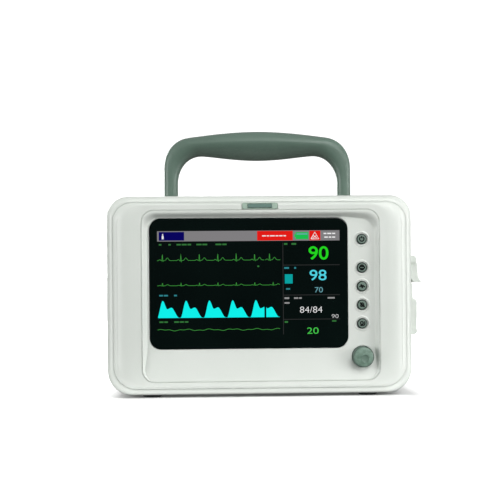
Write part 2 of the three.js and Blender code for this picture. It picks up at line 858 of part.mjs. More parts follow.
// The door: a barrel at the hinge, a flat face, and a finger scoop below the latch, closed at its ends
// by cheeks that carry the platen.
function recorderDoor() {
  const { x, z } = DOOR_HINGE;
  const radius = DOOR_FACE_X - x;
  const skin = new THREE.Shape();
  skin.absarc(x, z, radius, Math.PI, 2 * Math.PI, false);
  skin.lineTo(DOOR_FACE_X, 78.6);
  skin.absarc(DOOR_FACE_X - 2.4, 78.6, 2.4, 0, Math.PI / 2, false);
  skin.quadraticCurveTo(132.9, 81.5, 132.9, 86);
  skin.lineTo(132.9, DOOR_TOP);
  skin.lineTo(131.4, DOOR_TOP);
  skin.lineTo(131.4, 60);
  const front = BAY.front + BAY.wall + GAP;
  const back = BAY.back - BAY.wall - GAP;
  const cheek = (from, to) =>
    extruded(
      [
        [132.4, 70],
        [132.4, DOOR_TOP],
        [127, DOOR_TOP],
        [121.5, 91],
        [121.5, 84],
        [126, 81],
        [130, 70],
      ].map(([px, pz]) => new THREE.Vector2(px, pz)),
      "y",
      from,
      to,
    );
  return cut(
    join(extruded(skin, "y", front, back), cheek(front, front + 2), cheek(back - 2, back)),
    rod("y", 1.3, front - 1, back + 1, x, z, 12),
    rod("y", 2.3, front - 1, back + 1, PLATEN.x, PLATEN.z, 16),
    box(130, 134.4, front + 3, back - 3, 60, 77),
  );
}

// The release lever above the door: a curved face with a finger lip along its lower edge.
function recorderLatch() {
  const { x, z } = LATCH_HINGE;
  const radius = 2.8;
  const profile = new THREE.Shape();
  profile.absarc(x, z, radius, 0.35 * Math.PI, Math.PI, false);
  profile.lineTo(131.2, 100);
  profile.lineTo(133.4, LATCH_BOTTOM + 0.4);
  profile.lineTo(135.2, LATCH_BOTTOM);
  profile.lineTo(LIP_X - 0.5, LATCH_BOTTOM);
  profile.lineTo(LIP_X, LATCH_BOTTOM + 0.7);
  profile.quadraticCurveTo(LIP_X - 1, 100.5, 137.9, 104);
  profile.lineTo(137.3, 112);
  const front = BAY.front + BAY.wall + GAP;
  const back = BAY.back - BAY.wall - GAP;
  return cut(
    extruded(profile, "y", front, back),
    rod("y", 1.3, front - 1, back + 1, x, z, 12),
  );
}

function hingePin({ x, z }) {
  return rod("y", 1, BAY.front + 0.3, BAY.back - 0.3, x, z, 12);
}

// A spur gear with straight-flanked teeth, turned by `phase` of a tooth.
function gear(teeth, phase, { x, z }, bore) {
  const pitchRadius = (GEAR_MODULE * teeth) / 2;
  const tip = pitchRadius + GEAR_MODULE;
  const root = pitchRadius - 1.25 * GEAR_MODULE;
  const pitch = (2 * Math.PI) / teeth;
  const outline = range(teeth).flatMap((i) =>
    [
      [-0.26, root],
      [-0.1, tip],
      [0.1, tip],
      [0.26, root],
    ].map(([share, radius]) => {
      const angle = (i + phase + share) * pitch;
      return new THREE.Vector2(x + radius * Math.cos(angle), z + radius * Math.sin(angle));
    }),
  );
  const wheel = extruded(outline, "y", GEAR_FRONT, GEAR_BACK);
  return bore ? cut(wheel, rod("y", bore, GEAR_FRONT - 1, GEAR_BACK + 1, x, z, 12)) : solid(wheel);
}

// The rubber roller on its shaft.
function platenRoller() {
  const { x, z, radius } = PLATEN;
  return join(
    rod("y", radius, 33.5, 83, x, z, 24),
    rod("y", 2, BAY.front + BAY.wall + 0.6, BAY.back - BAY.wall - 0.6, x, z, 16),
  );
}

function platenGear() {
  return gear(PLATEN_TEETH, 0, PLATEN, 2.3);
}

// The motor's pinion on its shaft, with a tooth gap facing a tooth of the platen gear.
function motorPinion() {
  const centre = pinionCentre();
  const towards = Math.atan2(PLATEN.z - centre.z, PLATEN.x - centre.x);
  const away = towards + Math.PI;
  const platenShare = (away * PLATEN_TEETH) / (2 * Math.PI);
  const pinionShare = (towards * PINION_TEETH) / (2 * Math.PI);
  const offset = platenShare - Math.round(platenShare);
  const phase = pinionShare + 0.5 + offset;
  return join(
    gear(PINION_TEETH, phase, centre, 0),
    rod("y", 1.2, GEAR_FRONT + 1, BAY.back + 0.2, centre.x, centre.z, 12),
  );
}

function recorderMotor() {
  const { x, z } = pinionCentre();
  return join(
    rod("y", 8, BAY.back + 0.6, BAY.back + 14, x, z, 20),
    box(x - 12, x + 8, BAY.back + 0.6, BAY.back + 1.8, z - 4, z + 4),
  );
}

// The thermal print head: a heater bar on an aluminium plate, pressed towards the platen.
function printHead() {
  const face = PLATEN.x - PLATEN.radius - GAP;
  return join(
    box(face - 3, face - 1, 33, 83, 84, 108),
    box(face - 1.5, face, 33.5, 82.5, PLATEN.z - 2.5, PLATEN.z + 2.5),
  );
}

function paperRoll() {
  const { x, z, radius, core } = ROLL;
  return cut(rod("y", radius, 34.5, 82.5, x, z, 32), rod("y", core, 30, 90, x, z, 16));
}

// ---------------------------------------------------------------------------------------------
// Connectors in the left-hand side
// ---------------------------------------------------------------------------------------------

const SOCKETS = [
  { name: "ecg_socket", y: SOCKET_Y, z: 116, radius: 12.5, bore: 9 },
  { name: "spo2_socket", y: SOCKET_Y, z: 87, radius: 10.5, bore: 7 },
  { name: "temp_socket_1", y: 48, z: 65, radius: 5.2, bore: 3.3 },
  { name: "temp_socket_2", y: 74, z: 65, radius: 5.2, bore: 3.3 },
];
const NIBP = { y: SOCKET_Y, z: 46, radius: 8, bore: 2.2 };

// A tray let into the side wall, with a rim round its mouth and holes for the sockets.
function connectorPanel() {
  const { front, back, bottom, top, depth } = TRAY;
  const mouth = -CASE_HALF_WIDTH - 0.6;
  const body = extruded(
    roundedOutline(front, back, bottom, top, 8),
    "x",
    -CASE_HALF_WIDTH - 0.5,
    -CASE_HALF_WIDTH + depth + 2,
  );
  const rim = extruded(
    roundedOutline(front - 2.5, back + 2.5, bottom - 2.5, top + 2.5, 10),
    "x",
    mouth - 0.6,
    -CASE_HALF_WIDTH - GAP,
  );
  const hollow = extruded(
    roundedOutline(front + 2, back - 2, bottom + 2, top - 2, 6),
    "x",
    mouth - 5,
    -CASE_HALF_WIDTH + depth,
  );
  const holes = [...SOCKETS, NIBP].map(({ y, z, radius }) =>
    rod("x", radius + GAP, -CASE_HALF_WIDTH, -100, y, z, 20),
  );
  return cut(join(body, rim), hollow, ...holes);
}

// A round socket through the tray, with a bore to the outside and a key or contact inside it.
function socket({ y, z, radius, bore }) {
  const face = -CASE_HALF_WIDTH + 1.5;
  const seat = -CASE_HALF_WIDTH + TRAY.depth;
  const body = join(
    rod("x", radius, face, seat + 8, y, z, 20),
    rod("x", radius + 2, seat + 2 + GAP, seat + 4, y, z, 20),
  );
  const bored = cut(body, rod("x", bore, face - 1, seat + 3, y, z, 20));
  if (bore < 5) return bored;
  const pins = range(6).map((i) => {
    const angle = (i * Math.PI) / 3;
    const reach = bore * 0.6;
    return rod("x", 0.7, face + 3, seat + 4, y + reach * Math.cos(angle), z + reach * Math.sin(angle), 6);
  });
  return join(bored, ...pins);
}

// The quick-release air port for the cuff, with a barbed tail for the hose inside the case.
function nibpPort() {
  const { y, z, radius, bore } = NIBP;
  const seat = -CASE_HALF_WIDTH + TRAY.depth;
  const body = join(
    rod("x", radius, -CASE_HALF_WIDTH + 4, seat + 4, y, z, 20),
    rod("x", 4, -CASE_HALF_WIDTH + 0.5, seat + 4, y, z, 16),
    rod("x", radius + 2, seat + 2 + GAP, seat + 4, y, z, 20),
    rod("x", 3, seat + 3, seat + 12, y, z, 12),
  );
  return cut(body, rod("x", bore, -CASE_HALF_WIDTH, seat + 13, y, z, 14));
}

// ---------------------------------------------------------------------------------------------
// Ports in the back
// ---------------------------------------------------------------------------------------------

// A mains inlet: flange, body, a deep hollow with chamfered upper corners, and three blades.
function powerInlet() {
  const z = REAR_PORT_Z;
  const flange = roundedBlock(INLET_X - 16, INLET_X + 16, 127.3, 129, z - 12.5, z + 12.5, 3);
  const body = box(INLET_X - 13.7, INLET_X + 13.7, 104, 128, z - 10.1, z + 10.1);
  const mouth = [
    [-12, -8.2],
    [12, -8.2],
    [12, 4],
    [7.8, 8.2],
    [-7.8, 8.2],
    [-12, 4],
  ].map(([x, up]) => new THREE.Vector2(INLET_X + x, z + up));
  const blades = [
    [-7, -2],
    [7, -2],
    [0, 2.5],
  ].map(([x, up]) =>
    box(INLET_X + x - 1, INLET_X + x + 1, 111, 120, z + up - 2.4, z + up + 2.4),
  );
  return join(cut(join(flange, body), extruded(mouth, "y", 112, 130)), ...blades);
}

function networkPort() {
  const z = REAR_PORT_Z;
  const body = box(NETWORK_X - 7.9, NETWORK_X + 7.9, 106, CASE_DEPTH + 0.3, z - 6.7, z + 6.7);
  const mouth = box(NETWORK_X - 5.9, NETWORK_X + 5.9, 114, 130, z - 4, z + 4);
  const key = box(NETWORK_X - 3, NETWORK_X + 3, 114, 130, z - 5.6, z - 3.5);
  return cut(body, mouth, key);
}

// The earth stud: a collar against the back wall and a threaded end with a nut inside.
function groundPost() {
  return turned(
    "y",
    [
      [0, 112],
      [2, 112],
      [2, 117],
      [5.5, 117],
      [5.5, 123.6],
      [4, 123.6],
      [4, 127.3],
      [6, 127.3],
      [6, 128.6],
      [2.8, 128.6],
      [2.8, 131.2],
      [2.2, 131.8],
      [2.2, 133],
      [3, 133.6],
      [3, 135.4],
      [2.4, 136],
      [0, 136],
    ],
    GROUND_X,
    REAR_PORT_Z,
    10,
  );
}

function speaker() {
  const { x, z, radius } = SPEAKER;
  return turned(
    "y",
    [
      [0, 106],
      [10, 106],
      [10, 111],
      [radius - 4, 116],
      [radius, 118],
      [radius, 123.6],
      [radius - 2.5, 123.6],
      [8, 115],
      [0, 114],
    ],
    x,
    z,
    20,
  );
}

// The battery door: a flap with a rolled lower edge that turns on two stub pins, and a pull notch.
function batteryDoor() {
  const { halfWidth, bottom, top, thickness } = BATTERY_DOOR;
  const radius = thickness / 2;
  const face = CASE_DEPTH - 0.2;
  const y = face - radius;
  const z = bottom + radius;
  const flap = join(
    box(BATTERY_X - halfWidth, BATTERY_X + halfWidth, face - thickness, face, z, top),
    rod("x", radius, BATTERY_X - halfWidth, BATTERY_X + halfWidth, y, z, 16),
    rod("x", 0.8, BATTERY_X - halfWidth - 2, BATTERY_X + halfWidth + 2, y, z, 12),
  );
  const notch = rod("y", 9, face - 1.2, face + 1, BATTERY_X, top + 3, 28);
  return cut(flap, notch);
}

// ---------------------------------------------------------------------------------------------
// Inside
// ---------------------------------------------------------------------------------------------

// The sheet-metal carrier behind the screen, with folded side flanges and cable windows.
function chassisPlate() {
  const plate = box(-98, 98, 20, 21.2, 14, 148);
  const flanges = [-98, 96.8].map((x) => box(x, x + 1.2, 20, 27, 18, 144));
  const windows = [-60, 0, 60].map((x) => box(x - 14, x + 14, 19, 23, 60, 100));
  return cut(join(plate, ...flanges), ...windows);
}

// A circuit board facing along y with a row of parts on its back.
function mainBoard() {
  const board = box(-90, 76, 28, 29.6, 20, 140);
  const parts = [
    [-70, -40, 33, 100, 130],
    [-20, 10, 32, 90, 120],
    [30, 50, 31.5, 100, 125],
    [-70, -50, 38, 40, 70],
    [-30, 20, 34, 30, 38],
    [40, 66, 36, 50, 70],
  ].map(([x0, x1, y, z0, z1]) => box(x0, x1, 29, y, z0, z1));
  return join(board, ...parts);
}

// The power supply board on the floor of the case, with its transformer, heat sink and capacitors.
function powerBoard() {
  const board = box(24, 100, 36, 100, 9, 10.6);
  const transformer = box(50, 74, 44, 66, 10, 33);
  const heatSink = box(30, 34, 42, 92, 10, 38);
  const capacitors = [74, 92].map((y) => rod("z", 8, 10, 36, 88, y, 16));
  return join(board, transformer, heatSink, ...capacitors);
}

// The measuring board behind the patient connectors, with a screening can over its amplifiers.
function parameterBoard() {
  const board = box(-104, -102.4, 34, 104, 74, 130);
  const can = box(-103, -94, 40, 80, 84, 122);
  return join(board, can, box(-103, -98, 86, 100, 90, 110));
}

function batteryPack() {
  const z = (BATTERY_DOOR.bottom + BATTERY_DOOR.top) / 2;
  return roundedBlock(BATTERY_X - 42, BATTERY_X + 42, 50, 122, z - 11, z + 11, 4);
}

// The cuff pump: a motor can with a square pumping head and an outlet nipple.
function nibpPump() {
  const [x, z] = [-25, 66];
  return join(
    rod("y", 13.5, 50, 92, x, z, 24),
    box(x - 14, x + 14, 92, 110, z - 14, z + 14),
    rod("x", 2.5, x - 20, x - 12, 101, z, 12),
  );
}

function nibpValveBlock() {
  const block = box(-78, -54, 60, 100, 50, 70);
  const coils = [70, 90].map((y) => rod("z", 7, 69, 84, -66, y, 20));
  const nipple = rod("x", 3, -86, -77, 70, 58, 12);
  return cut(join(block, ...coils, nipple), rod("x", 1.8, -90, -70, 70, 58, 10));
}

// The air hose between the valve block and the cuff port, pushed over neither but ending at both.
function nibpHose() {
  const start = -CASE_HALF_WIDTH + TRAY.depth + 12 + GAP;
  const end = -86 - GAP;
  const reach = 9;
  const route = new THREE.CubicBezierCurve3(
    new THREE.Vector3(start, NIBP.y, NIBP.z),
    new THREE.Vector3(start + reach, NIBP.y, NIBP.z),
    new THREE.Vector3(end - reach, 70, 58),
    new THREE.Vector3(end, 70, 58),
  );
  const section = new THREE.Shape().absarc(0, 0, 3, 0, 2 * Math.PI, false);
  return new THREE.ExtrudeGeometry(section, {
    extrudePath: route,
    steps: 12,
    curveSegments: 5,
    bevelEnabled: false,
  });
}

// ---------------------------------------------------------------------------------------------
// Assembly
// ---------------------------------------------------------------------------------------------

function frontAssembly() {
  const { casePlastic, lensGreen, lensDark, circuitBoard, glass, blackPlastic } = FINISHES;
  const group = new THREE.Group();
  group.add(
    piece("front_bezel", frontBezel(), casePlastic),
    piece("alarm_trim", alarmTrim(), lensGreen),
    piece("alarm_lens", alarmLens(), lensDark),
    piece("alarm_led_board", alarmBoard(), circuitBoard),
  );
  const panel = new THREE.Group();
  panel.position.set(0, PAN_DEPTH, PAN_BOTTOM);
  panel.add(
    piece("screen_window", screenWindow(), glass),
    piece("lcd_module", lcdModule(), blackPlastic),
    ...controls(),
  );
  group.add(panel);
  return group;
}

function controls() {
  const { greenPlastic, knobPlastic, circuitBoard, steel, greyPlastic, blackPlastic } = FINISHES;
  return [
    ...BUTTONS.map(({ name, v }) => piece(name, pushButton(v), greenPlastic)),
    piece("key_switch_board", keySwitchBoard(), circuitBoard),
    piece("encoder_knob", encoderKnob(), knobPlastic),
    piece("encoder_shaft", encoderShaft(), steel),
    piece("encoder_rotor", encoderRotor(), blackPlastic),
    piece("encoder_body", encoderBody(), greyPlastic),
  ];
}

function housingAssembly() {
  const { casePlastic, rubber, steel } = FINISHES;
  const group = new THREE.Group();
  group.add(piece("rear_housing", rearHousing(), casePlastic));
  group.add(...footPlaces().map(({ name, x, y }) => piece(name, foot(x, y), rubber)));
  for (const [side, x] of [["left", -SCREW_X], ["right", SCREW_X]]) {
    for (const [level, z] of Object.entries(SCREW_LEVELS)) {
      group.add(piece(`case_screw_${level}_${side}`, caseScrew(x, z), steel));
    }
  }
  return group;
}

function handleAssembly() {
  const { greenPlastic, steel, blackPlastic } = FINISHES;
  const group = new THREE.Group();
  group.add(piece("handle", handle(), greenPlastic));
  for (const [name, side] of [["left", -1], ["right", 1]]) {
    group.add(
      piece(`handle_pin_${name}`, handlePin(side), steel),
      piece(`handle_washer_${name}`, handleWasher(side), blackPlastic),
    );
  }
  return group;
}

function recorderAssembly() {
  const { casePlastic, steel, rubber, greyPlastic, blackPlastic, paper, brass } = FINISHES;
  const group = new THREE.Group();
  group.add(
    piece("recorder_bay", recorderBay(), casePlastic),
    piece("recorder_door", recorderDoor(), casePlastic),
    piece("recorder_latch", recorderLatch(), casePlastic),
    piece("door_hinge_pin", hingePin(DOOR_HINGE), steel),
    piece("latch_hinge_pin", hingePin(LATCH_HINGE), steel),
    piece("platen_roller", platenRoller(), rubber),
    piece("platen_gear", platenGear(), blackPlastic),
    piece("motor_pinion", motorPinion(), brass),
    piece("recorder_motor", recorderMotor(), steel),
    piece("print_head", printHead(), greyPlastic),
    piece("paper_roll", paperRoll(), paper),
  );
  return group;
}

function connectorAssembly() {
  const { greyPlastic, blackPlastic, casePlastic, steel, brass } = FINISHES;
  const group = new THREE.Group();
  group.add(
    piece("connector_panel", connectorPanel(), casePlastic),
    ...SOCKETS.map((place) => piece(place.name, socket(place), greyPlastic)),
    piece("nibp_port", nibpPort(), steel),
    piece("power_inlet", powerInlet(), blackPlastic),
    piece("network_port", networkPort(), greyPlastic),
    piece("ground_post", groundPost(), brass),
    piece("battery_door", batteryDoor(), casePlastic),
  );
  return group;
}

function insideAssembly() {
  const { steel, circuitBoard, blackPlastic, greyPlastic, rubber } = FINISHES;
  const group = new THREE.Group();
  group.add(
    piece("chassis_plate", chassisPlate(), steel),
    piece("main_board", mainBoard(), circuitBoard),
    piece("power_board", powerBoard(), circuitBoard),
    piece("parameter_board", parameterBoard(), circuitBoard),
    piece("battery_pack", batteryPack(), blackPlastic),
    piece("nibp_pump", nibpPump(), steel),
    piece("nibp_valve_block", nibpValveBlock(), greyPlastic),
    piece("nibp_hose", nibpHose(), rubber),
    piece("speaker", speaker(), blackPlastic),
  );
  return group;
}

const monitor = new THREE.Group();
monitor.add(
  frontAssembly(),
  housingAssembly(),
  handleAssembly(),
  recorderAssembly(),
  connectorAssembly(),
  insideAssembly(),
);

// The origin lies on the ground under the middle of the object.
const middle = new THREE.Box3().setFromObject(monitor, true).getCenter(new THREE.Vector3());
monitor.position.set(-middle.x, -middle.y, 0);

export default monitor;
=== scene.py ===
import json
import math
from contextlib import contextmanager
from types import SimpleNamespace as Dims

import bmesh
import bpy
from mathutils import Matrix, Vector

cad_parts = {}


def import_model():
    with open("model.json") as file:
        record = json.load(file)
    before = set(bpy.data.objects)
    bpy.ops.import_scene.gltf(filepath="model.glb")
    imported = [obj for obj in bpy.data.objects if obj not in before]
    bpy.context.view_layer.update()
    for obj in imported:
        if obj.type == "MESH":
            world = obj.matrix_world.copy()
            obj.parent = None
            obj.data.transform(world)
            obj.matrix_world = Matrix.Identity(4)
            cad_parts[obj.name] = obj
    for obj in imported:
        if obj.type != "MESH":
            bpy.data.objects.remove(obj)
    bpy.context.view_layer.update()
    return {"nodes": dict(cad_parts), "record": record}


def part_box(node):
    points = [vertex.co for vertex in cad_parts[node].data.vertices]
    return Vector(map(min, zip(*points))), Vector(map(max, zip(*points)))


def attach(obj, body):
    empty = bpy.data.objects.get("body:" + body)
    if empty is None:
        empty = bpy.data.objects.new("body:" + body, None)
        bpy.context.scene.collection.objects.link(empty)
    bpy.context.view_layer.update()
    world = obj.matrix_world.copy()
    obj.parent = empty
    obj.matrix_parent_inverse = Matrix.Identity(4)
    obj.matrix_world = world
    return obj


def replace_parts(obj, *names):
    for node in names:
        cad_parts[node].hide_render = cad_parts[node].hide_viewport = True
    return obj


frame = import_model()

# Looks of a portable patient monitor: fine shapes, finishes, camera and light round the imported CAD
# frame. Shapes are drawn in millimetres in case coordinates: x = 0 in the middle of the case, y = 0 on
# its front face with y running to the back, z = 0 under the feet. HOME carries them into the frame.

# Case
HALF_WIDTH = 129
TOP = 170
DEPTH = 127
FOOT_HEIGHT = 2
LOWER_CORNER = 21
UPPER_CORNER = 18
WALL = 3
GAP = 0.3
PARTING_Y = 5.5
PARTING_INSET = 5.8
PARTING_GROOVE = Dims(side=0.02, end=0.28, depth=0.5, lip=0.25)
FLARE = 9
WING = 16
EDGE_ROUNDING = 3
BEZEL_EDGE_ANGLE = 0.4
TAPER_START = 96
REAR_TAPER = 3.5
REAR_ROUNDING = 8
SKIRT = Dims(outer=9.2, inner=10.8, back=11)
PILLAR = Dims(radius=4, back=98, hole_front=82)
SCREW_HOLE = 1.8
SCREWS = {
    f"case_screw_{level}_{side}": (x, z)
    for side, x in (("left", -108), ("right", 108)) for level, z in (("lower", 22), ("upper", 138))
}
FOOT_RADIUS = 8
FEET = {
    f"foot_{end}_{side}": (x, y)
    for end, y in (("front", 22), ("rear", 86)) for side, x in (("left", -92), ("right", 92))
}

# Panel sunk parallel to the front; its upper wall is softer above the column of keys
PAN_LEFT = -99
PAN_RIGHT = 100
PAN_BOTTOM = 13.8
PAN_TOP = 157.2
PAN_CORNER = 10.5
PAN_DEPTH = 4.8
PAN_INSET = Dims(left=4.6, right=4, top=6.3, bottom=1.9)
LIP_SHARE = 0.6
COLUMN_LEFT = 73
COLUMN_SOFTNESS = 2.5
COLUMN_POINTS = (86, 82, 78, 74)
RAMP_TOP = 39.5
RAMP_SHALLOW = 0.6
RAMP_SOFTNESS = 2.2
TUB = Dims(margin=2.2, thickness=2.5)

# Screen and alarm light
SCREEN_X = -9.5
WINDOW = Dims(z=95.8, half_width=83.3, half_height=54.8, corner=9.7, thickness=1.5)
DISPLAY = Dims(z=96.5, half_width=76.8, half_height=44)
ALARM_Z = 160.6
TRIM = Dims(half_width=14.8, half_height=2.6)
LENS = Dims(half_width=10.1, half_height=1.6)

# Controls
CONTROL_X = 85.8
BUTTON_LEVELS = {
    "power_button": 132.4,
    "print_button": 108.4,
    "freeze_button": 92.7,
    "silence_button": 77.0,
    "cuff_button": 61.3,
}
BUTTON_RADIUS = 4.4
BUTTON_FACE = PAN_DEPTH - 1.2
BUTTON_SEGMENTS = 56
KNOB_Z = 33.5
KNOB_RADIUS = 8.9
KNOB_FACE = PAN_DEPTH - 9.5
KNOB_PAD = Dims(x=1.2, z=-1.2, radius=3.2)
KNOB_BOSS = 14.5
KNOB_BUSH = 4.8
KNOB_BORE = 3.3

# Handle
PIVOT_Y = 55
PIVOT_Z = 160.5
PIN_BORE = Dims(radius=3.3, start=73)
LEG_OUTER_X = 82.3
LEG_INNER_X = 70.3
LEG_HALF_DEPTH = 7
GRIP_HALF_DEPTH = 10.4
HANDLE_TOP = 230
GRIP_BOTTOM = 204.2
POCKET = Dims(half_width=86, front=46, floor=149.5, corner=6)

# Recorder in the right-hand side
BAY = Dims(front=28, back=92, bottom=48, top=121, wall=2, inner=82.5, flange=130.4)
EARS = (BAY.front + BAY.wall + GAP, BAY.back - BAY.wall - GAP)
DOOR = Dims(face=136.7, hinge_x=133.5, hinge_z=53.7, top=94.8, ear=3.2)
LATCH = Dims(hinge_x=133.4, hinge_z=115.6, bottom=95.8, lip=140.8, ear=3)
HINGE_BORE = 1.3
PLATEN = Dims(x=124.6, z=87.5, bore=2.3, to_pinion=10)

# Connectors
TRAY = Dims(front=28, back=94, bottom=32, top=136, depth=8, corner=8)
SEAT = TRAY.depth - HALF_WIDTH
RIM_WIDTH = 2.5
SOCKETS = {
    "ecg_socket": Dims(y=61, z=116, radius=12.5, bore=9),
    "spo2_socket": Dims(y=61, z=87, radius=10.5, bore=7),
    "temp_socket_1": Dims(y=48, z=65, radius=5.2, bore=3.3),
    "temp_socket_2": Dims(y=74, z=65, radius=5.2, bore=3.3),
}
NIBP = Dims(y=61, z=46, radius=8, bore=2.2)
BATTERY = Dims(x=-30, half_width=46, bottom=16, top=46, thickness=3, axle=1.5)
PORT_Z = 32
INLET = Dims(x=85, half_width=13.7, half_height=10.1)
NETWORK = Dims(x=48, half_width=7.9, half_height=6.7)
GROUND_X = 62
OUTSIDE = 150

MM = 0.001
housing_low, housing_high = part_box("rear_housing")
HOME = Matrix.Translation((
    (housing_low.x + housing_high.x) / 2,
    housing_high.y - DEPTH * MM,
    housing_high.z - TOP * MM,
)) @ Matrix.Scale(MM, 4)


# ---- Geometry helpers

def in_scene(name, data):
    made = bpy.data.objects.new(name, data)
    bpy.context.scene.collection.objects.link(made)
    return made


@contextmanager
def edited(mesh):
    """A working copy of a mesh, which is written back at the end."""
    work = bmesh.new()
    work.from_mesh(mesh)
    yield work
    work.to_mesh(mesh)
    work.free()


def shape(points, faces):
    """A closed mesh object with its faces pointing out."""
    mesh = bpy.data.meshes.new("shape")
    mesh.from_pydata([tuple(p) for p in points], [], faces)
    with edited(mesh) as work:
        bmesh.ops.recalc_face_normals(work, faces=work.faces)
    return in_scene("shape", mesh)


def fractions(steps):
    """Even steps from 0 to 1."""
    return [i / steps for i in range(steps + 1)]


def arc_points(radius, start, end, steps=14, x=0.0, z=0.0):
    angles = [math.radians(start + (end - start) * part) for part in fractions(steps)]
    return [(x + radius * math.cos(a), z + radius * math.sin(a)) for a in angles]


def rounded(left, right, bottom, top, lower, upper=None, steps=10):
    """A rounded rectangle as a list of points, with one radius below and one above."""
    upper = lower if upper is None else upper
    return (
        arc_points(lower, -90, 0, steps, right - lower, bottom + lower)
        + arc_points(upper, 0, 90, steps, right - upper, top - upper)
        + arc_points(upper, 90, 180, steps, left + upper, top - upper)
        + arc_points(lower, 180, 270, steps, left + lower, bottom + lower)
    )


def centred(x, z, half_width, half_height, corner):
    """A rounded rectangle round a point."""
    return rounded(x - half_width, x + half_width, z - half_height, z + half_height, corner)


def side_outline(box, margin, corner):
    """A rounded rectangle round an opening in the side of the case, as (y, z) points."""
    return rounded(
        box.front - margin, box.back + margin, box.bottom - margin, box.top + margin, corner
    )


def bezier(*controls, steps):
    """Points along a Bezier curve, without its first."""
    points = []
    for t in fractions(steps)[1:]:
        level = controls
        while len(level) > 1:
            level = [tuple(p + (q - p) * t for p, q in zip(a, b)) for a, b in zip(level, level[1:])]
        points.append(level[0])
    return points


def loft(rings):
    """A closed skin through rings of equally many points, capped at both ends."""
    count = len(rings[0])
    faces = [list(range(count)), [(len(rings) - 1) * count + i for i in range(count)]]
    for r in range(len(rings) - 1):
        for i in range(count):
            a = r * count + i
            b = r * count + (i + 1) % count
            faces.append([a, b, b + count, a + count])
    return shape([p for ring in rings for p in ring], faces)


def placed(axis, along, u, v):
    """A point whose coordinates across the axis are u and v, in the order x, y, z."""
    return {"x": (along, u, v), "y": (u, along, v), "z": (u, v, along)}[axis]


def at_depth(outline, y):
    return [(x, y, z) for x, z in outline]


def extruded(outline, axis, start, end, edge=0.0):
    """A prism; with an edge, its rims are rounded off by that much."""
    made = loft([[placed(axis, along, u, v) for u, v in outline] for along in (start, end)])
    return softened(made, edge) if edge else made


def turned(axis, profile, u, v, segments=48):
    """A solid of revolution from (radius, along) pairs."""
    angles = [2 * math.pi * i / segments for i in range(segments)]
    return loft([
        [placed(axis, along, u + radius * math.cos(a), v + radius * math.sin(a)) for a in angles]
        for radius, along in profile
    ])


def rod(axis, radius, start, end, u, v, edge=0.0, segments=48):
    if not edge:
        return turned(axis, [(radius, start), (radius, end)], u, v, segments)
    arc = [math.pi / 2 * part for part in fractions(4)]
    nose = [(radius - edge + edge * math.sin(a), start + edge - edge * math.cos(a)) for a in arc]
    tail = [(radius - edge + edge * math.cos(a), end - edge + edge * math.sin(a)) for a in arc]
    return turned(axis, nose + tail, u, v, segments)


def block(x0, x1, y0, y1, z0, z1, edge=0.0):
    return extruded([(x0, z0), (x1, z0), (x1, z1), (x0, z1)], "y", y0, y1, edge)


def slab(x, z, half_width, half_height, front, back, edge=0.0):
    """A block round the point (x, z)."""
    return block(x - half_width, x + half_width, front, back, z - half_height, z + half_height, edge)


def side_block(box, x0, x1, margin=0.0):
    """A block through an opening in the side of the case."""
    return block(
        x0, x1, box.front - margin, box.back + margin, box.bottom - margin, box.top + margin
    )


def softened(made, width, angle=30, segments=3):
    """Rounds every edge that is sharper than the angle."""
    with edited(made.data) as work:
        sharp = [e for e in work.edges if e.is_manifold and e.calc_face_angle(0) > math.radians(angle)]
        bmesh.ops.bevel(
            work, geom=sharp, offset=width, segments=segments, profile=0.5, affect="EDGES",
            clamp_overlap=True,
        )
    return made


def combined(base, tools, operation):
    for tool in tools:
        modifier = base.modifiers.new("combine", "BOOLEAN")
        modifier.solver = "MANIFOLD"
        modifier.operation = operation
        modifier.object = tool
    depsgraph = bpy.context.evaluated_depsgraph_get()
    mesh = bpy.data.meshes.new_from_object(base.evaluated_get(depsgraph))
    base.modifiers.clear()
    base.data = mesh
    for tool in tools:
        bpy.data.objects.remove(tool)
    return base


def cut(base, *tools):
    return combined(base, tools, "DIFFERENCE")


def joined(base, *tools):
    return combined(base, tools, "UNION")


def merged(name, pieces):
    """Separate closed shapes as one object."""
    mesh = bpy.data.meshes.new(name)
    with edited(mesh) as work:
        for item in pieces:
            work.from_mesh(item.data)
            bpy.data.objects.remove(item)
    return in_scene(name, mesh)


def settle(made, name, slot, body="case", finish=None, sharp=35):
    """Moves a finished shape into the frame, gives it the finish of its slot or the one named, and ties it
    to its body.
    """
    made.name = name
    made.data.name = name
    made.data.transform(HOME)
    made.data.shade_smooth()
    made.data.set_sharp_from_angle(angle=math.radians(sharp))
    made.data.materials.clear()
    made.data.materials.append(MATERIALS[finish or slot])
    made.modifiers.new("even_shading", "WEIGHTED_NORMAL").keep_sharp = True
    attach(made, body)
    return made


def stand_in(made, node, slot, body="case", sharp=35):
    """Settles a shape in the place of a CAD node."""
    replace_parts(settle(made, node + "_shape", slot, body, sharp=sharp), node)


def smooth(value):
    value = min(max(value, 0), 1)
    return value * value * (3 - 2 * value)


# ---- Finishes

def linear(hex_colour, strength=1.0):
    """A display colour such as "dbe0da" as linear red, green, blue and alpha."""
    values = [int(hex_colour[i:i + 2], 16) / 255 for i in (0, 2, 4)]
    return [strength * (v / 12.92 if v <= 0.04045 else ((v + 0.055) / 1.055) ** 2.4) for v in values] + [1]


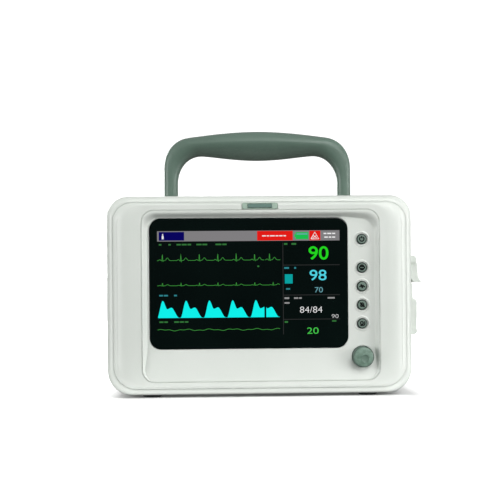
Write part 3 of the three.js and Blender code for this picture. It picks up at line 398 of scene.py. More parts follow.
class Nodes:
    """A node tree under construction."""

    def __init__(self, owner):
        owner.use_nodes = True
        self.tree = owner.node_tree

    def plug(self, value, socket):
        """Links a node's output to a socket, or sets the socket to a constant."""
        if isinstance(value, bpy.types.NodeSocket):
            self.tree.links.new(value, socket)
        else:
            socket.default_value = value

    def add(self, kind, inputs=None, **settings):
        node = self.tree.nodes.new(kind)
        for key, value in settings.items():
            setattr(node, key, value)
        for key, value in (inputs or {}).items():
            self.plug(value, node.inputs[key])
        return node

    def spread(self, source, low, high, start=0.3, end=0.7, **settings):
        """Stretches a factor between two values."""
        inputs = {"Value": source, "From Min": start, "From Max": end, "To Min": low, "To Max": high}
        return self.add("ShaderNodeMapRange", inputs, **settings).outputs[0]


class Finish(Nodes):
    """A material under construction."""

    def __init__(self, name, roughness, **settings):
        self.material = bpy.data.materials.new(name)
        super().__init__(self.material)
        self.surface = self.tree.nodes["Principled BSDF"]
        self.surface.inputs["Roughness"].default_value = roughness
        for socket, value in settings.items():
            self.surface.inputs[socket.replace("_", " ")].default_value = value
        coordinates = self.add("ShaderNodeTexCoord")
        self.place = coordinates.outputs["Object"]
        self.facing = coordinates.outputs["Normal"]

    def noise(self, scale, detail=3, roughness=0.5, stretch=None):
        place = self.place
        if stretch:
            place = self.add("ShaderNodeMapping", {"Vector": place, "Scale": stretch}).outputs[0]
        inputs = {"Vector": place, "Scale": scale, "Detail": detail, "Roughness": roughness}
        return self.add("ShaderNodeTexNoise", inputs).outputs["Fac"]

    def patches(self, scale, detail=3, most=1):
        """Soft patches from 0 to a share."""
        return self.spread(self.noise(scale, detail), 0, most)

    def blend(self, factor, a, b):
        """Mixes two colours; sockets 0, 6 and 7 are the factor and the colours of an RGBA mix."""
        return self.add("ShaderNodeMix", {0: factor, 6: a, 7: b}, data_type="RGBA").outputs[2]

    def worn_edges(self, radius):
        """The normal rounded within the radius, and where it differs from the flat one."""
        bevel = self.add("ShaderNodeBevel", {"Radius": radius}, samples=4).outputs[0]
        flat = self.add("ShaderNodeNewGeometry").outputs["Normal"]
        likeness = self.add("ShaderNodeVectorMath", {0: bevel, 1: flat}, operation="DOT_PRODUCT")
        return bevel, self.spread(likeness.outputs["Value"], 1, 0, 0.75, 0.98)

    def bump(self, height, strength, distance, normal=None):
        inputs = {"Height": height, "Strength": strength, "Distance": distance}
        if normal:
            inputs["Normal"] = normal
        return self.add("ShaderNodeBump", inputs).outputs[0]

    def done(self, **sockets):
        """Links textures to the surface and hands the material over."""
        for socket, value in sockets.items():
            self.tree.links.new(value, self.surface.inputs[socket.replace("_", " ")])
        return self.material


def moulded(name, colour, dark, light, roughness, grain=0.0004, grain_strength=0.12, blotch=22,
            underside=1, **settings):
    """Injection-moulded plastic: faint blotches, a fine grain, uneven gloss and paler edges; with a shade
    share below 1, downward faces are darkened as painted shade.
    """
    finish = Finish(name, roughness, **settings)
    base = finish.blend(finish.patches(blotch, 4), linear(dark), linear(colour))
    # Painted shade: faces that point down are blended towards the dark colour, darker the more they point
    # down.
    if underside < 1:
        upward = finish.add("ShaderNodeSeparateXYZ", {0: finish.facing}).outputs["Z"]
        base = finish.blend(finish.spread(upward, 1, 0, -0.9, 0.1), base, linear(dark, underside))
    specks = finish.spread(finish.noise(1 / grain, 2), 0, 0.35, 0.55, 0.75)
    base = finish.blend(specks, base, linear(light))
    normal, edges = finish.worn_edges(0.0004)
    rubbed = finish.add("ShaderNodeMath", {0: edges, 1: finish.noise(160, 3)}, operation="MULTIPLY")
    return finish.done(
        Base_Color=finish.blend(rubbed.outputs[0], base, linear(light)),
        Roughness=finish.spread(finish.noise(70, 5, 0.6), roughness - 0.05, roughness + 0.07),
        Normal=finish.bump(finish.noise(1 / grain, 2), grain_strength, grain / 5, normal),
    )


def metal(name, colour, dark, roughness, stretch):
    """Brushed metal with patches of tarnish."""
    finish = Finish(name, roughness, Metallic=1)
    brushed = finish.noise(900, 4, 0.6, stretch)
    normal, _ = finish.worn_edges(0.0002)
    return finish.done(
        Base_Color=finish.blend(finish.patches(60, 4, 0.6), linear(colour), linear(dark)),
        Roughness=finish.spread(brushed, roughness - 0.08, roughness + 0.12),
        Normal=finish.bump(brushed, 0.15, 0.00005, normal),
    )


def rubber(name):
    """Dusty black rubber."""
    finish = Finish(name, 0.8)
    dust = finish.spread(finish.noise(90, 5, 0.7), 0, 0.6, 0.45, 0.75)
    return finish.done(
        Base_Color=finish.blend(dust, linear("2b2d2e"), linear("4b4e4e")),
        Roughness=finish.spread(finish.noise(400, 3), 0.7, 0.9),
        Normal=finish.bump(finish.noise(2600, 2), 0.4, 0.00008),
    )


def paper(name):
    """A wound roll: fibres along the paper and the edges of its layers."""
    finish = Finish(name, 0.9)
    fibres = finish.noise(1800, 4, 0.7, (1, 0.25, 1))
    layers = finish.noise(5200, 1, 0.5, (1, 0.001, 1))
    shade = finish.blend(finish.spread(fibres, 0, 1), linear("efece3"), linear("f7f5ee"))
    return finish.done(
        Base_Color=finish.blend(finish.spread(layers, 0, 0.25), shade, linear("cdc9bd")),
        Roughness=finish.spread(fibres, 0.82, 0.95),
        Normal=finish.bump(layers, 0.2, 0.00004),
    )


def board(name):
    """Green laminate with copper traces under the mask."""
    finish = Finish(name, 0.4)
    cells = finish.add("ShaderNodeTexBrick", {
        "Vector": finish.place, "Scale": 260.0, "Mortar Size": 0.03,
        "Color1": (0, 0, 0, 1), "Color2": (0.1, 0.1, 0.1, 1), "Mortar": (1, 1, 1, 1),
    }).outputs["Color"]
    mask = finish.blend(finish.patches(40), linear("17492d"), linear("216440"))
    return finish.done(
        Base_Color=finish.blend(finish.spread(cells, 0, 0.55, 0.3, 0.9), mask, linear("3f8f5c")),
        Roughness=finish.spread(finish.noise(500, 3), 0.3, 0.5),
        Normal=finish.bump(cells, 0.2, 0.00003),
    )


def glass(name):
    """The black-bordered window: glossy, with faint smudges left by wiping."""
    finish = Finish(name, 0.07, Coat_Weight=0.3, Coat_Roughness=0.04)
    return finish.done(
        Base_Color=finish.blend(finish.patches(14), linear("050d0c"), linear("081311")),
        Roughness=finish.spread(finish.noise(24, 6, 0.65, (1, 1, 2.6)), 0.05, 0.16, 0.45, 0.8),
        Normal=finish.bump(finish.noise(300, 2), 0.02, 0.00002),
    )


def lit(name, colour, strength=1.0):
    """Lit picture elements, with the faint stripes of the display's dot grid."""
    finish = Finish(
        name, 0.5, Base_Color=(0, 0, 0, 1), Specular_IOR_Level=0.0, Emission_Strength=strength
    )
    inputs = {"Vector": finish.place, "Scale": 1400.0, "Distortion": 0.0}
    stripes = finish.add("ShaderNodeTexWave", inputs, bands_direction="X").outputs["Fac"]
    return finish.done(
        Emission_Color=finish.blend(stripes, linear(colour, 0.86), linear(colour)),
        Roughness=finish.spread(finish.noise(500, 2), 0.45, 0.55),
    )


# Plastics: colour, darker blotches, lighter grain and edges, roughness, further settings
PLASTICS = {
    "case_white": ("dfe4de", "dbe1da", "e9ede8", 0.36, {"grain_strength": 0.06}),
    # The handle's shade share of 0.4 darkens its downward faces: painted shade.
    "handle_green": ("5f7569", "596e62", "81968b", 0.4, {"grain_strength": 0.1, "underside": 0.4}),
    "button_green": ("75897e", "6d8176", "95a89d", 0.42, {}),
    "knob_green": ("7f998a", "5f796b", "9ab2a4", 0.42, {"blotch": 420}),
    # The next two are darker as painted shade of the knob's dimple and of its edge.
    "pad_painted_shade": ("688173", "5f776a", "7d9487", 0.5, {}),
    "grip_painted_shade": ("50665b", "465a50", "6b8175", 0.5, {}),
    # Darker as painted shade of the keys' edges and the gaps round them.
    "rim_painted_shade": ("28332e", "212b27", "43504a", 0.45, {"Specular_IOR_Level": 0.3}),
    "icon_dark": ("0c1210", "090e0c", "1c2521", 0.6, {"Specular_IOR_Level": 0.15}),
    "lens_pale": ("a9bfb0", "a3b9aa", "c3d4c8", 0.25, {"grain_strength": 0.03}),
    "lens_dark": ("6f8a82", "67827a", "8ba59c", 0.2, {"grain_strength": 0.03}),
    "black_plastic": ("202223", "191b1c", "3a3d3e", 0.5, {}),
    "grey_plastic": ("8c9290", "828886", "a9afad", 0.5, {}),
}
PICTURE_COLOURS = {
    "grey": "848284",
    "navy": "0a0660",
    "red": "e91d18",
    "white": "f2f2f2",
    "green": "25dc22",
    "battery": "1cc452",
    "trace": "3f963e",
    "cyan": "52d9ea",
    "tile": "0ba6a5",
    "pleth": "10f8f2",
    "pale": "6aa6b0",
    "deep_green": "48cc4e",
    "line": "343434",
    "dim": "35763a",
    "dim_cyan": "31868f",
    "dim_white": "989898",
}
MATERIALS = {
    "screen_glass": glass("screen_glass"),
    "display": lit("display", "0b0f10", 0.4),
    "circuit_board": board("circuit_board"),
    "rubber": rubber("rubber"),
    "paper": paper("paper"),
    "steel": metal("steel", "c2c6c8", "9a9fa2", 0.32, (1, 0.06, 1)),
    "brass": metal("brass", "cfae5c", "a88542", 0.28, (1, 0.05, 1)),
}
for name, (*look, extras) in PLASTICS.items():
    MATERIALS[name] = moulded(name, *look, **extras)
for key, colour in PICTURE_COLOURS.items():
    MATERIALS["picture_" + key] = lit("picture_" + key, colour)


# ---- Front: bezel, screen and alarm light

def case_outline(side, end=None):
    """The case seen from the front, drawn in at the sides and at the top and bottom."""
    end = side if end is None else end
    shrink = end / 4
    return rounded(
        side - HALF_WIDTH, HALF_WIDTH - side, FOOT_HEIGHT + end, TOP - end,
        LOWER_CORNER - shrink, UPPER_CORNER - shrink, steps=14,
    )


def pan_ring(share, depth, margin=0.0):
    """One level of the hollow in front of the panel: share 0 at its mouth, 1 at its floor."""
    outline = rounded(
        PAN_LEFT - margin, PAN_RIGHT + margin, PAN_BOTTOM - margin, PAN_TOP + margin,
        PAN_CORNER + margin, steps=12,
    )
    middle = (PAN_BOTTOM + PAN_TOP) / 2
    corner = max(i for i, (x, z) in enumerate(outline) if x > 0 and z > middle)
    outline[corner + 1:corner + 1] = [(x, outline[corner][1]) for x in COLUMN_POINTS]
    ring = []
    for x, z in outline:
        across = PAN_INSET.left if x < 0 else -PAN_INSET.right
        softness = COLUMN_SOFTNESS * smooth((x - COLUMN_LEFT) / (PAN_RIGHT - COLUMN_LEFT))
        down = (PAN_INSET.top + softness) * share ** LIP_SHARE
        level = z + PAN_INSET.bottom * share if z < middle else z - down
        ring.append((x + across * share, depth, level))
    return ring


def behind_ramp(thickness):
    """Everything behind the ramp that joins the panel floor to the bottom edge."""
    slope = (PAN_DEPTH - RAMP_SHALLOW) / (RAMP_TOP - PAN_BOTTOM)
    back, top = 20 + thickness, RAMP_TOP + 12
    profile = [(back, 0), (back, top)]
    for part in fractions(24):
        z = top - part * top
        fall = RAMP_SOFTNESS * math.log1p(math.exp((RAMP_TOP - z) / RAMP_SOFTNESS))
        profile.append((PAN_DEPTH + thickness - slope * fall, z))
    return extruded(profile, "x", -HALF_WIDTH, HALF_WIDTH)


def pan_plug():
    """The hollow in front of the panel, with a wall that rolls over at the lip and at the floor."""
    mouth = 0.04
    rings = [pan_ring(mouth, -3), pan_ring(mouth, -0.2)]
    for share in fractions(12):
        depth = PAN_DEPTH * smooth(share) + 0.001 * share
        rings.append(pan_ring(mouth + (1 - mouth) * share, depth))
    return cut(loft(rings), behind_ramp(0))


def lip_groove():
    """The fine line round the mouth of the hollow."""
    outer = loft([pan_ring(0, -1, 0.3), pan_ring(0, 0.7, 0.3)])
    return cut(outer, loft([pan_ring(0, -2, -0.25), pan_ring(0, 2, -0.25)]))


def bezel_body():
    """The front shell with its skirt, the tub that holds the panel, and the screw pillars."""
    rings = []
    for part in fractions(10):
        angle = BEZEL_EDGE_ANGLE + (math.pi / 2 - BEZEL_EDGE_ANGLE) * (1 - part)
        roll = 1 - math.cos(angle) / math.cos(BEZEL_EDGE_ANGLE)
        outline = case_outline(PARTING_INSET + WING * roll, PARTING_INSET + EDGE_ROUNDING * roll)
        y = PARTING_Y * (1 - math.sin(angle)) / (1 - math.sin(BEZEL_EDGE_ANGLE))
        rings.append(at_depth(outline, y))
    body = loft(rings)
    inside = case_outline(SKIRT.inner)
    hollow = extruded(inside, "y", 2.8, SKIRT.back + 1)
    skirt = cut(
        extruded(case_outline(SKIRT.outer), "y", 2.5, SKIRT.back),
        extruded(inside, "y", 2, SKIRT.back + 1),
    )
    margin, thickness = TUB.margin, TUB.thickness
    tub = loft([
        pan_ring(0, 1, margin), pan_ring(0, thickness, margin), pan_ring(1, PAN_DEPTH + thickness, margin)
    ])
    boss = rod("y", KNOB_BOSS, PAN_DEPTH - 3, PAN_DEPTH + 5, CONTROL_X, KNOB_Z)
    pillars = []
    for x, z in SCREWS.values():
        hole = rod("y", SCREW_HOLE, PILLAR.hole_front, PILLAR.back + 1, x, z)
        pillars.append(cut(rod("y", PILLAR.radius, 2, PILLAR.back, x, z), hole))
    return joined(cut(body, hollow), skirt, cut(tub, behind_ramp(thickness)), boss, *pillars)


def front_bezel():
    rebate = extruded(
        centred(SCREEN_X, WINDOW.z, WINDOW.half_width + GAP, WINDOW.half_height + GAP,
                WINDOW.corner),
        "y", PAN_DEPTH - WINDOW.thickness, PAN_DEPTH + WINDOW.thickness + GAP,
    )
    opening = slab(
        SCREEN_X, DISPLAY.z, DISPLAY.half_width + 1, DISPLAY.half_height + 1, 0, 14
    )
    seat = slab(0, ALARM_Z, TRIM.half_width + GAP, TRIM.half_height + GAP, -1, 1.6)
    slot = slab(0, ALARM_Z, LENS.half_width + GAP, LENS.half_height + 0.8, 1, 14)
    body = cut(bezel_body(), pan_plug(), lip_groove(), rebate, opening, seat, slot)
    collar = [
        (6.7, PAN_DEPTH + 1), (6.7, PAN_DEPTH), (6.2, PAN_DEPTH - 0.3), (5.5, PAN_DEPTH - 0.4),
        (5, PAN_DEPTH + 1),
    ]
    collars = [turned("y", collar, CONTROL_X, z) for z in BUTTON_LEVELS.values()]
    holes = [rod("y", BUTTON_RADIUS + 0.15, -2, 12, CONTROL_X, z) for z in BUTTON_LEVELS.values()]
    well = rod("y", KNOB_RADIUS + 0.35, -1, PAN_DEPTH + 3.2, CONTROL_X, KNOB_Z)
    bush = rod("y", KNOB_BUSH, 0, 13, CONTROL_X, KNOB_Z)
    body = cut(joined(body, *collars), *holes, well, bush)
    stand_in(body, "front_bezel", "case_white", sharp=30)


def screen_window():
    edge = 0.5
    rings = []
    for inset, y in ((edge, 0), (0.15, 0.15), (0, edge), (0, WINDOW.thickness)):
        outline = centred(
            SCREEN_X, WINDOW.z, WINDOW.half_width - inset, WINDOW.half_height - inset,
            WINDOW.corner - inset,
        )
        rings.append(at_depth(outline, PAN_DEPTH + y))
    stand_in(loft(rings), "screen_window", "screen_glass")


def alarm_light():
    trim = extruded(
        centred(0, ALARM_Z, TRIM.half_width, TRIM.half_height, 1.6), "y", -0.4, 1.3, edge=0.3
    )
    trim = cut(trim, slab(0, ALARM_Z, LENS.half_width + 0.2, LENS.half_height + GAP, -1, 2))
    stand_in(trim, "alarm_trim", "lens_pale")
    lens = extruded(
        centred(0, ALARM_Z, LENS.half_width, LENS.half_height, 0.8), "y", -0.7, 5.2, edge=0.4
    )
    stand_in(lens, "alarm_lens", "lens_dark")


# ---- Picture on the screen
# A point of the picture is (u, v): u to the right of its left edge, v down from its top edge.

PICTURE_Y = PAN_DEPTH - 0.03
PICTURE_BACK = PAN_DEPTH + 0.02
PICTURE_LEFT = SCREEN_X - DISPLAY.half_width
PICTURE_TOP = DISPLAY.z + DISPLAY.half_height
NEAR = 0.02        # how far a mark stands in front of the ground
NEARER = 0.04      # and in front of a plate
BAR_GAP = 0.7

# Plates: colour, left, right, top, bottom, how far in front
PLATES = [
    ("grey", 0.2, 153.4, 0.5, 9.1, 0),
    ("navy", 1.6, 22.8, 1.2, 8.4, NEAR),
    ("red", 84, 114, 0.8, 8.8, NEAR),
    ("red", 128, 137.3, 0.8, 8.8, NEAR),
    ("battery", 116.4, 127, 2, 7.8, NEAR),
    ("battery", 115.4, 116.4, 3.7, 6.1, NEAR),
    ("pale", 117.2, 126.4, 3, 4, NEARER),
    ("white", 4.1, 5.7, 4.4, 7.2, NEARER),
    ("white", 4.5, 5.3, 2.8, 4.2, NEARER),
    ("tile", 107, 113.6, 37.3, 45.1, NEAR),
    ("line", 105.3, 105.8, 10.9, 87.8, 0),
] + [("line", 105.8, 153.4, v - 0.25, v + 0.25, 0) for v in (29.6, 54.8, 75.2)]
# Readings: colour, digits, left, right, top, bottom, how much bolder
READINGS = (
    ("green", "90", 127.2, 144, 13.9, 25.3, 0.012),
    ("cyan", "98", 127.9, 142.2, 33.7, 42.7, 0.006),
    ("pale", "70", 132.2, 139, 48.3, 52.8, 0),
    ("white", "84/84", 119.6, 138.4, 64.6, 69.8, -0.012),
    ("white", "90", 146.3, 152, 71.3, 74.4, -0.02),
    ("deep_green", "20", 125.4, 135.2, 82.2, 87.6, 0),
)
# Plain bars in place of labels: colour, thickness, how far in front, then left, middle and lengths
LABELS = (
    ("white", 0.9, NEARER, (88.2, 4.9, 3.2, 2, 4, 2.4, 2.8, 2.2)),
    ("white", 1.1, NEAR, (140, 3.2, 2.4, 3.4, 2.6), (140.6, 6.3, 3, 2.2, 2.6)),
    ("dim", 1.3, NEAR, (1.6, 11.8, 2.2), (9.6, 11.8, 2), (16.4, 11.8, 3.6, 4.2, 3), (33, 11.8, 4.4, 4),
     (49, 11.8, 5, 3.6), (84, 30.4, 1.6), (1.6, 76.6, 3.4, 3), (14, 76.6, 4, 3.4, 3)),
    ("dim", 1.5, NEAR, (106.6, 11.8, 2.8), (112.8, 11.8, 4), (106.6, 77.4, 2.8)),
    ("dim", 1.2, NEAR, (146.6, 76.9, 3.6)),
    ("dim_cyan", 1.3, NEAR, (1.6, 54.4, 3.2, 3.4), (14, 54.4, 2.4), (108, 49.6, 3.4)),
    ("dim_cyan", 1.5, NEAR, (106.6, 32, 4), (115, 32, 1.6)),
    ("dim_white", 1.3, NEAR, (114.6, 57.4, 3.6, 2.2), (143, 57.4, 6), (106.6, 61.4, 4.2)),
    ("dim_white", 1.5, NEAR, (106.6, 57.4, 4)),
)
# The alarm sign's strokes with their widths: a triangle and a cross inside it
ALARM_SIGN = (
    ([(129.4, 7.7), (132.6, 1.9), (135.9, 7.7), (129.4, 7.7)], 0.7),
    ([(131, 6.9), (134.2, 4.6)], 0.5),
    ([(131, 4.6), (134.2, 6.9)], 0.5),
)
# Bumps of an electrocardiogram: phase, width, height
HEARTBEAT = (
    (0.22, 0.05, 0.8), (0.335, 0.012, -1.6), (0.36, 0.02, 5.6), (0.39, 0.012, -1.8), (0.63, 0.08, 2.2)
)


def on_screen(u, v, lift=0.0):
    return (PICTURE_LEFT + u, PICTURE_Y - lift, PICTURE_TOP - v)


def plate(u0, u1, v0, v1, lift):
    x0, y, z1 = on_screen(u0, v0, lift)
    x1, _, z0 = on_screen(u1, v1, lift)
    return block(x0, x1, y, PICTURE_BACK, z0, z1)


def band(upper, lower, lift=NEAR):
    """A closed strip between two lines of equally many points."""
    rings = []
    for top, bottom in zip(upper, lower):
        front = [on_screen(*top, lift), on_screen(*bottom, lift)]
        rings.append(front + [(x, PICTURE_BACK, z) for x, _, z in reversed(front)])
    return loft(rings)


def trace(points, width=0.42, lift=NEAR):
    """A drawn line of even width."""
    upper = []
    lower = []
    for i, (u, v) in enumerate(points):
        before = points[max(i - 1, 0)]
        after = points[min(i + 1, len(points) - 1)]
        du, dv = after[0] - before[0], after[1] - before[1]
        length = math.hypot(du, dv)
        nu, nv = -dv / length * width / 2, du / length * width / 2
        upper.append((u - nu, v - nv))
        lower.append((u + nu, v + nv))
    return band(upper, lower, lift)


def figures(text, u0, u1, v0, v1, bold):
    """Digits fitted into a rectangle of the picture."""
    curve = bpy.data.curves.new("figures", "FONT")
    curve.body = text
    curve.offset = bold
    curve.extrude = 0.5
    made = in_scene("figures", curve)
    depsgraph = bpy.context.evaluated_depsgraph_get()
    mesh = bpy.data.meshes.new_from_object(made.evaluated_get(depsgraph))
    bpy.data.objects.remove(made)
    xs = [v.co.x for v in mesh.vertices]
    ys = [v.co.y for v in mesh.vertices]
    for vertex in mesh.vertices:
        u = u0 + (vertex.co.x - min(xs)) / (max(xs) - min(xs)) * (u1 - u0)
        v = v1 - (vertex.co.y - min(ys)) / (max(ys) - min(ys)) * (v1 - v0)
        x, y, z = on_screen(u, v, NEAR)
        vertex.co = (x, y if vertex.co.z > 0 else PICTURE_BACK, z)
    with edited(mesh) as work:
        bmesh.ops.remove_doubles(work, verts=work.verts, dist=0.002)
        bmesh.ops.recalc_face_normals(work, faces=work.faces)
    return in_scene("figures", mesh)


def heartbeat(phase):
    """Height of an electrocardiogram above its rest line at a phase from 0 to 1."""
    return sum(height * math.exp(-(((phase - at) / width) ** 2)) for at, width, height in HEARTBEAT)


def pulse(phase):
    """Height of a pulse wave at a phase from 0 to 1: a steep rise, a shoulder and a fall."""
    crest = 14.2 * smooth(phase / 0.24) * (1 - 0.5 * smooth((phase - 0.24) / 0.2))
    crest += 1.3 * math.exp(-(((phase - 0.6) / 0.1) ** 2))
    return crest * (1 - smooth((phase - 0.64) / 0.3))


def waveforms():
    """Two electrocardiograms, a breathing line and a filled pulse wave, each drawn from left to right."""
    step = 0.24
    beat = 15.45
    lines = []
    # Start, length, level, height, shift of the phase
    for start, length, level, height, shift in (
        (0, 90, 25.1, 1, 1.1), (90.6, 13, 25.1, 1, 1.9), (0, 103, 46.2, 0.45, 1.1)
    ):
        lines.append([
            (start + i * step, level - height * heartbeat(((i * step + shift) / beat) % 1))
            for i in range(int(length / step))
        ])
    lines.append([
        (i * step, 83.3 - 0.45 * math.sin(i * step / 3.1) - 0.3 * math.sin(i * step / 1.3))
        for i in range(int(103 / step))
    ])
    period = 19.5
    waves = []
    for start, length, shift in ((0.6, 89.4, 0.0), (91.2, 11.8, 0.7)):
        us = [start + i * step for i in range(int(length / step))]
        crest = [(u, 73 - pulse(((u - 4.5) / period + 0.24 + shift) % 1)) for u in us]
        waves.append(band(crest, [(u, 73.2) for u in us]))
    return [trace(line) for line in lines], waves


def picture():
    parts = {key: [] for key in PICTURE_COLOURS}
    for key, *edges, lift in PLATES:
        parts[key].append(plate(*edges, lift))
    for key, text, *edges, bold in READINGS:
        parts[key].append(figures(text, *edges, bold))
    for key, height, lift, *runs in LABELS:
        for u, v, *lengths in runs:
            for length in lengths:
                parts[key].append(plate(u, u + length, v - height / 2, v + height / 2, lift))
                u += length + BAR_GAP
    parts["white"] += [trace(points, width, NEARER) for points, width in ALARM_SIGN]
    parts["trace"], parts["pleth"] = waveforms()
    for key, pieces in parts.items():
        name = "picture_" + key
        settle(merged(name, pieces), name, "display", finish=name, sharp=10)


# ---- Controls

# Strokes of the icons on the keys, as (x, z) points from the key's middle
ICONS = {
    "power_button": [arc_points(1.9, 125, 415), [(0, 0.6), (0, 2.5)]],
    "print_button": [
        [(-2.1, -0.9), (-2.1, 0.8), (2.1, 0.8), (2.1, -0.9), (-2.1, -0.9)],
        [(-1.2, 0.9), (-1.2, 2), (1.2, 2), (1.2, 0.9)],
        [(-1.2, -0.9), (-1.2, -1.9), (1.2, -1.9), (1.2, -0.9)],
    ],
    "freeze_button": [
        [(-2.4, -0.4), (-1.3, -0.4), (-0.7, 1.6), (0.1, -1.7), (0.8, 0.9), (1.3, -0.4), (2.4, -0.4)],
    ],
    "silence_button": [
        [(-1.6, -1.2), (-1.1, -0.4), *arc_points(1.1, 180, 0, 8, 0, 0.5),
         (1.1, -0.4), (1.6, -1.2), (-1.6, -1.2)],
        [(-2, 1.9), (2, -2)],
    ],
    "cuff_button": [
        arc_points(1.2, 0, 360, 14, -0.5, 0.4),
        [(-1.9, -1.6), (1.2, -1.6), (2, -0.8), (2, 1.8)],
    ],
}


def icon_line(points, z, y, width=1.1):
    """A raised stroke on a button's face; points are (x, z) from its middle."""
    pieces = []
    for (x0, z0), (x1, z1) in zip(points, points[1:]):
        length = math.hypot(x1 - x0, z1 - z0) or 1
        nx, nz = -(z1 - z0) / length * width / 2, (x1 - x0) / length * width / 2
        corners = [(x0 + nx, z0 + nz), (x0 - nx, z0 - nz), (x1 - nx, z1 - nz), (x1 + nx, z1 + nz)]
        corners = [(CONTROL_X + cx, z + cz) for cx, cz in corners]
        pieces.append(extruded(corners, "y", y - 0.06, y + 0.1))
    return pieces


def push_button(name, z):
    """A key with a cushioned face and a collar behind the panel, its rim and its icon; the rim's dark
    colour is painted shade of the key's edge and the gap round it.
    """
    face = BUTTON_FACE
    back = PAN_DEPTH + 2.8
    collar = BUTTON_RADIUS + 1.3
    body = turned("y", [
        (2.2, face + 0.06), (3.1, face), (3.5, face + 0.05), (3.7, face + 0.22), (4.1, face + 0.5),
        (BUTTON_RADIUS, face + 0.9), (BUTTON_RADIUS, back), (collar, back), (collar, back + 0.9),
        (2, back + 0.9), (2, PAN_DEPTH + 6.9),
    ], CONTROL_X, z, BUTTON_SEGMENTS)
    stand_in(body, name, "button_green", name)
    # The rim is dark plastic on the face's outer edge, standing for the shade of that edge and its gap:
    # painted shade.
    rim = turned("y", [
        (3.4, face + 0.3), (3.5, face - 0.03), (4, face + 0.02), (BUTTON_RADIUS - 0.08, face + 0.45),
        (BUTTON_RADIUS + 0.02, face + 1), (4, face + 1.2),
    ], CONTROL_X, z, BUTTON_SEGMENTS)
    rim = cut(rim, rod("y", 3.38, face - 1, face + 2, CONTROL_X, z))
    settle(rim, name + "_rim", "button_green", name, "rim_painted_shade")
    strokes = [piece for line in ICONS[name] for piece in icon_line(line, z, face + 0.02)]
    settle(merged(name + "_icon", strokes), name + "_icon", "button_green", name, "icon_dark")


def knob_rings(profile, flutes=36, steps=6):
    """A turned solid with fine flutes; the profile lists radius, drop behind the face, flute depth."""
    segments = flutes * steps
    rings = []
    for radius, drop, flute in profile:
        ring = []
        for i in range(segments):
            angle = 2 * math.pi * i / segments
            reach = radius - flute * (0.5 + 0.5 * math.cos(flutes * angle))
            x, z = CONTROL_X + reach * math.cos(angle), KNOB_Z + reach * math.sin(angle)
            ring.append((x, KNOB_FACE + drop, z))
        rings.append(ring)
    return loft(rings)


def encoder_knob():
    """The knob: a domed cap with an off-centre finger pad and a fluted grip round it; the pad and the grip
    are darker as painted shade of the dimple and of the knob's edge.
    """
    cap = knob_rings([
        (0.6, 0, 0), (2.5, 0.04, 0), (4.5, 0.14, 0), (6.4, 0.34, 0), (7.3, 0.58, 0), (7.9, 0.85, 0),
        (8.15, 1.15, 0), (8.2, 1.6, 0), (8.2, 11.1, 0),
    ])
    pad_x, pad_z, radius = CONTROL_X + KNOB_PAD.x, KNOB_Z + KNOB_PAD.z, KNOB_PAD.radius
    well = rod("y", radius, KNOB_FACE - 1, KNOB_FACE + 1.4, pad_x, pad_z)
    cap = cut(cap, well, rod("y", KNOB_BORE, 0, PAN_DEPTH + 3, CONTROL_X, KNOB_Z))
    stand_in(cap, "encoder_knob", "knob_green", "encoder_knob")
    # The pad's darker colour is painted shade of the dimple it sits in.
    pad = turned("y", [
        (0.1, 0.75), (1.2, 0.72), (2.2, 0.6), (2.8, 0.42), (radius - 0.1, 0.24), (radius - 0.04, 0.4),
        (radius - 0.04, 1.4),
    ], 0, 0)
    pad.data.transform(Matrix.Translation((pad_x, KNOB_FACE, pad_z)))
    settle(pad, "encoder_knob_pad", "knob_green", "encoder_knob", "pad_painted_shade")
    # The grip's darker colour is painted shade of the knob's edge.
    grip = knob_rings([
        (8.3, 0.85, 0), (8.55, 0.95, 0), (8.75, 1.4, 0), (8.8, 2.3, 0.14), (8.85, 5.5, 0.16),
        (KNOB_RADIUS, 9.6, 0.16), (KNOB_RADIUS, 11.1, 0),
    ])
    bore = rod("y", 8.22, KNOB_FACE - 1, KNOB_FACE + 12, CONTROL_X, KNOB_Z, segments=96)
    settle(cut(grip, bore), "encoder_knob_grip", "knob_green", "encoder_knob", "grip_painted_shade")


# ---- Rear housing

def housing_block():
    """The housing's outside: a fine step at the parting line, a flare, and a rounded back."""
    front = PARTING_Y + GAP / 2
    groove = PARTING_GROOVE
    side, end = PARTING_INSET - groove.side, PARTING_INSET - groove.end
    rings = [
        at_depth(case_outline(PARTING_INSET + 0.35), front + groove.depth),
        at_depth(case_outline(side, end), front + groove.depth),
    ]
    for part in fractions(10):
        angle = math.pi / 2 * part
        left = 1 - math.sin(angle)
        y = front + groove.lip + (FLARE - groove.lip) * (1 - math.cos(angle))
        rings.append(at_depth(case_outline(side * left, end * left), y))
    rings.append(at_depth(case_outline(0), TAPER_START))
    for part in fractions(6):
        angle = math.pi / 2 * part
        inset = REAR_TAPER + REAR_ROUNDING * (1 - math.cos(angle))
        rings.append(at_depth(case_outline(inset), DEPTH - REAR_ROUNDING * (1 - math.sin(angle))))
    return loft(rings)


def housing_hollow():
    levels = (
        (PARTING_INSET + WALL, PARTING_Y - 1), (WALL, PARTING_Y + FLARE), (WALL, TAPER_START),
        (WALL + REAR_TAPER, DEPTH - REAR_ROUNDING), (WALL + REAR_TAPER + 5, DEPTH - WALL),
    )
    return loft([at_depth(case_outline(inset), y) for inset, y in levels])


def handle_pocket(margin):
    """The pocket for the folded handle, open at the back and the top."""
    front, floor = POCKET.front - margin, POCKET.floor - margin
    outline = rounded(front, DEPTH + 20, floor, TOP + 20, POCKET.corner)
    return extruded(outline, "x", -POCKET.half_width - margin, POCKET.half_width + margin)


def pivot_rods(radius, inner, outer, edge=0.0):
    """A rod on the handle's axis at each side, between two distances from the middle."""
    ends = [sorted((side * inner, side * outer)) for side in (-1, 1)]
    return [rod("x", radius, *pair, PIVOT_Y, PIVOT_Z, edge) for pair in ends]


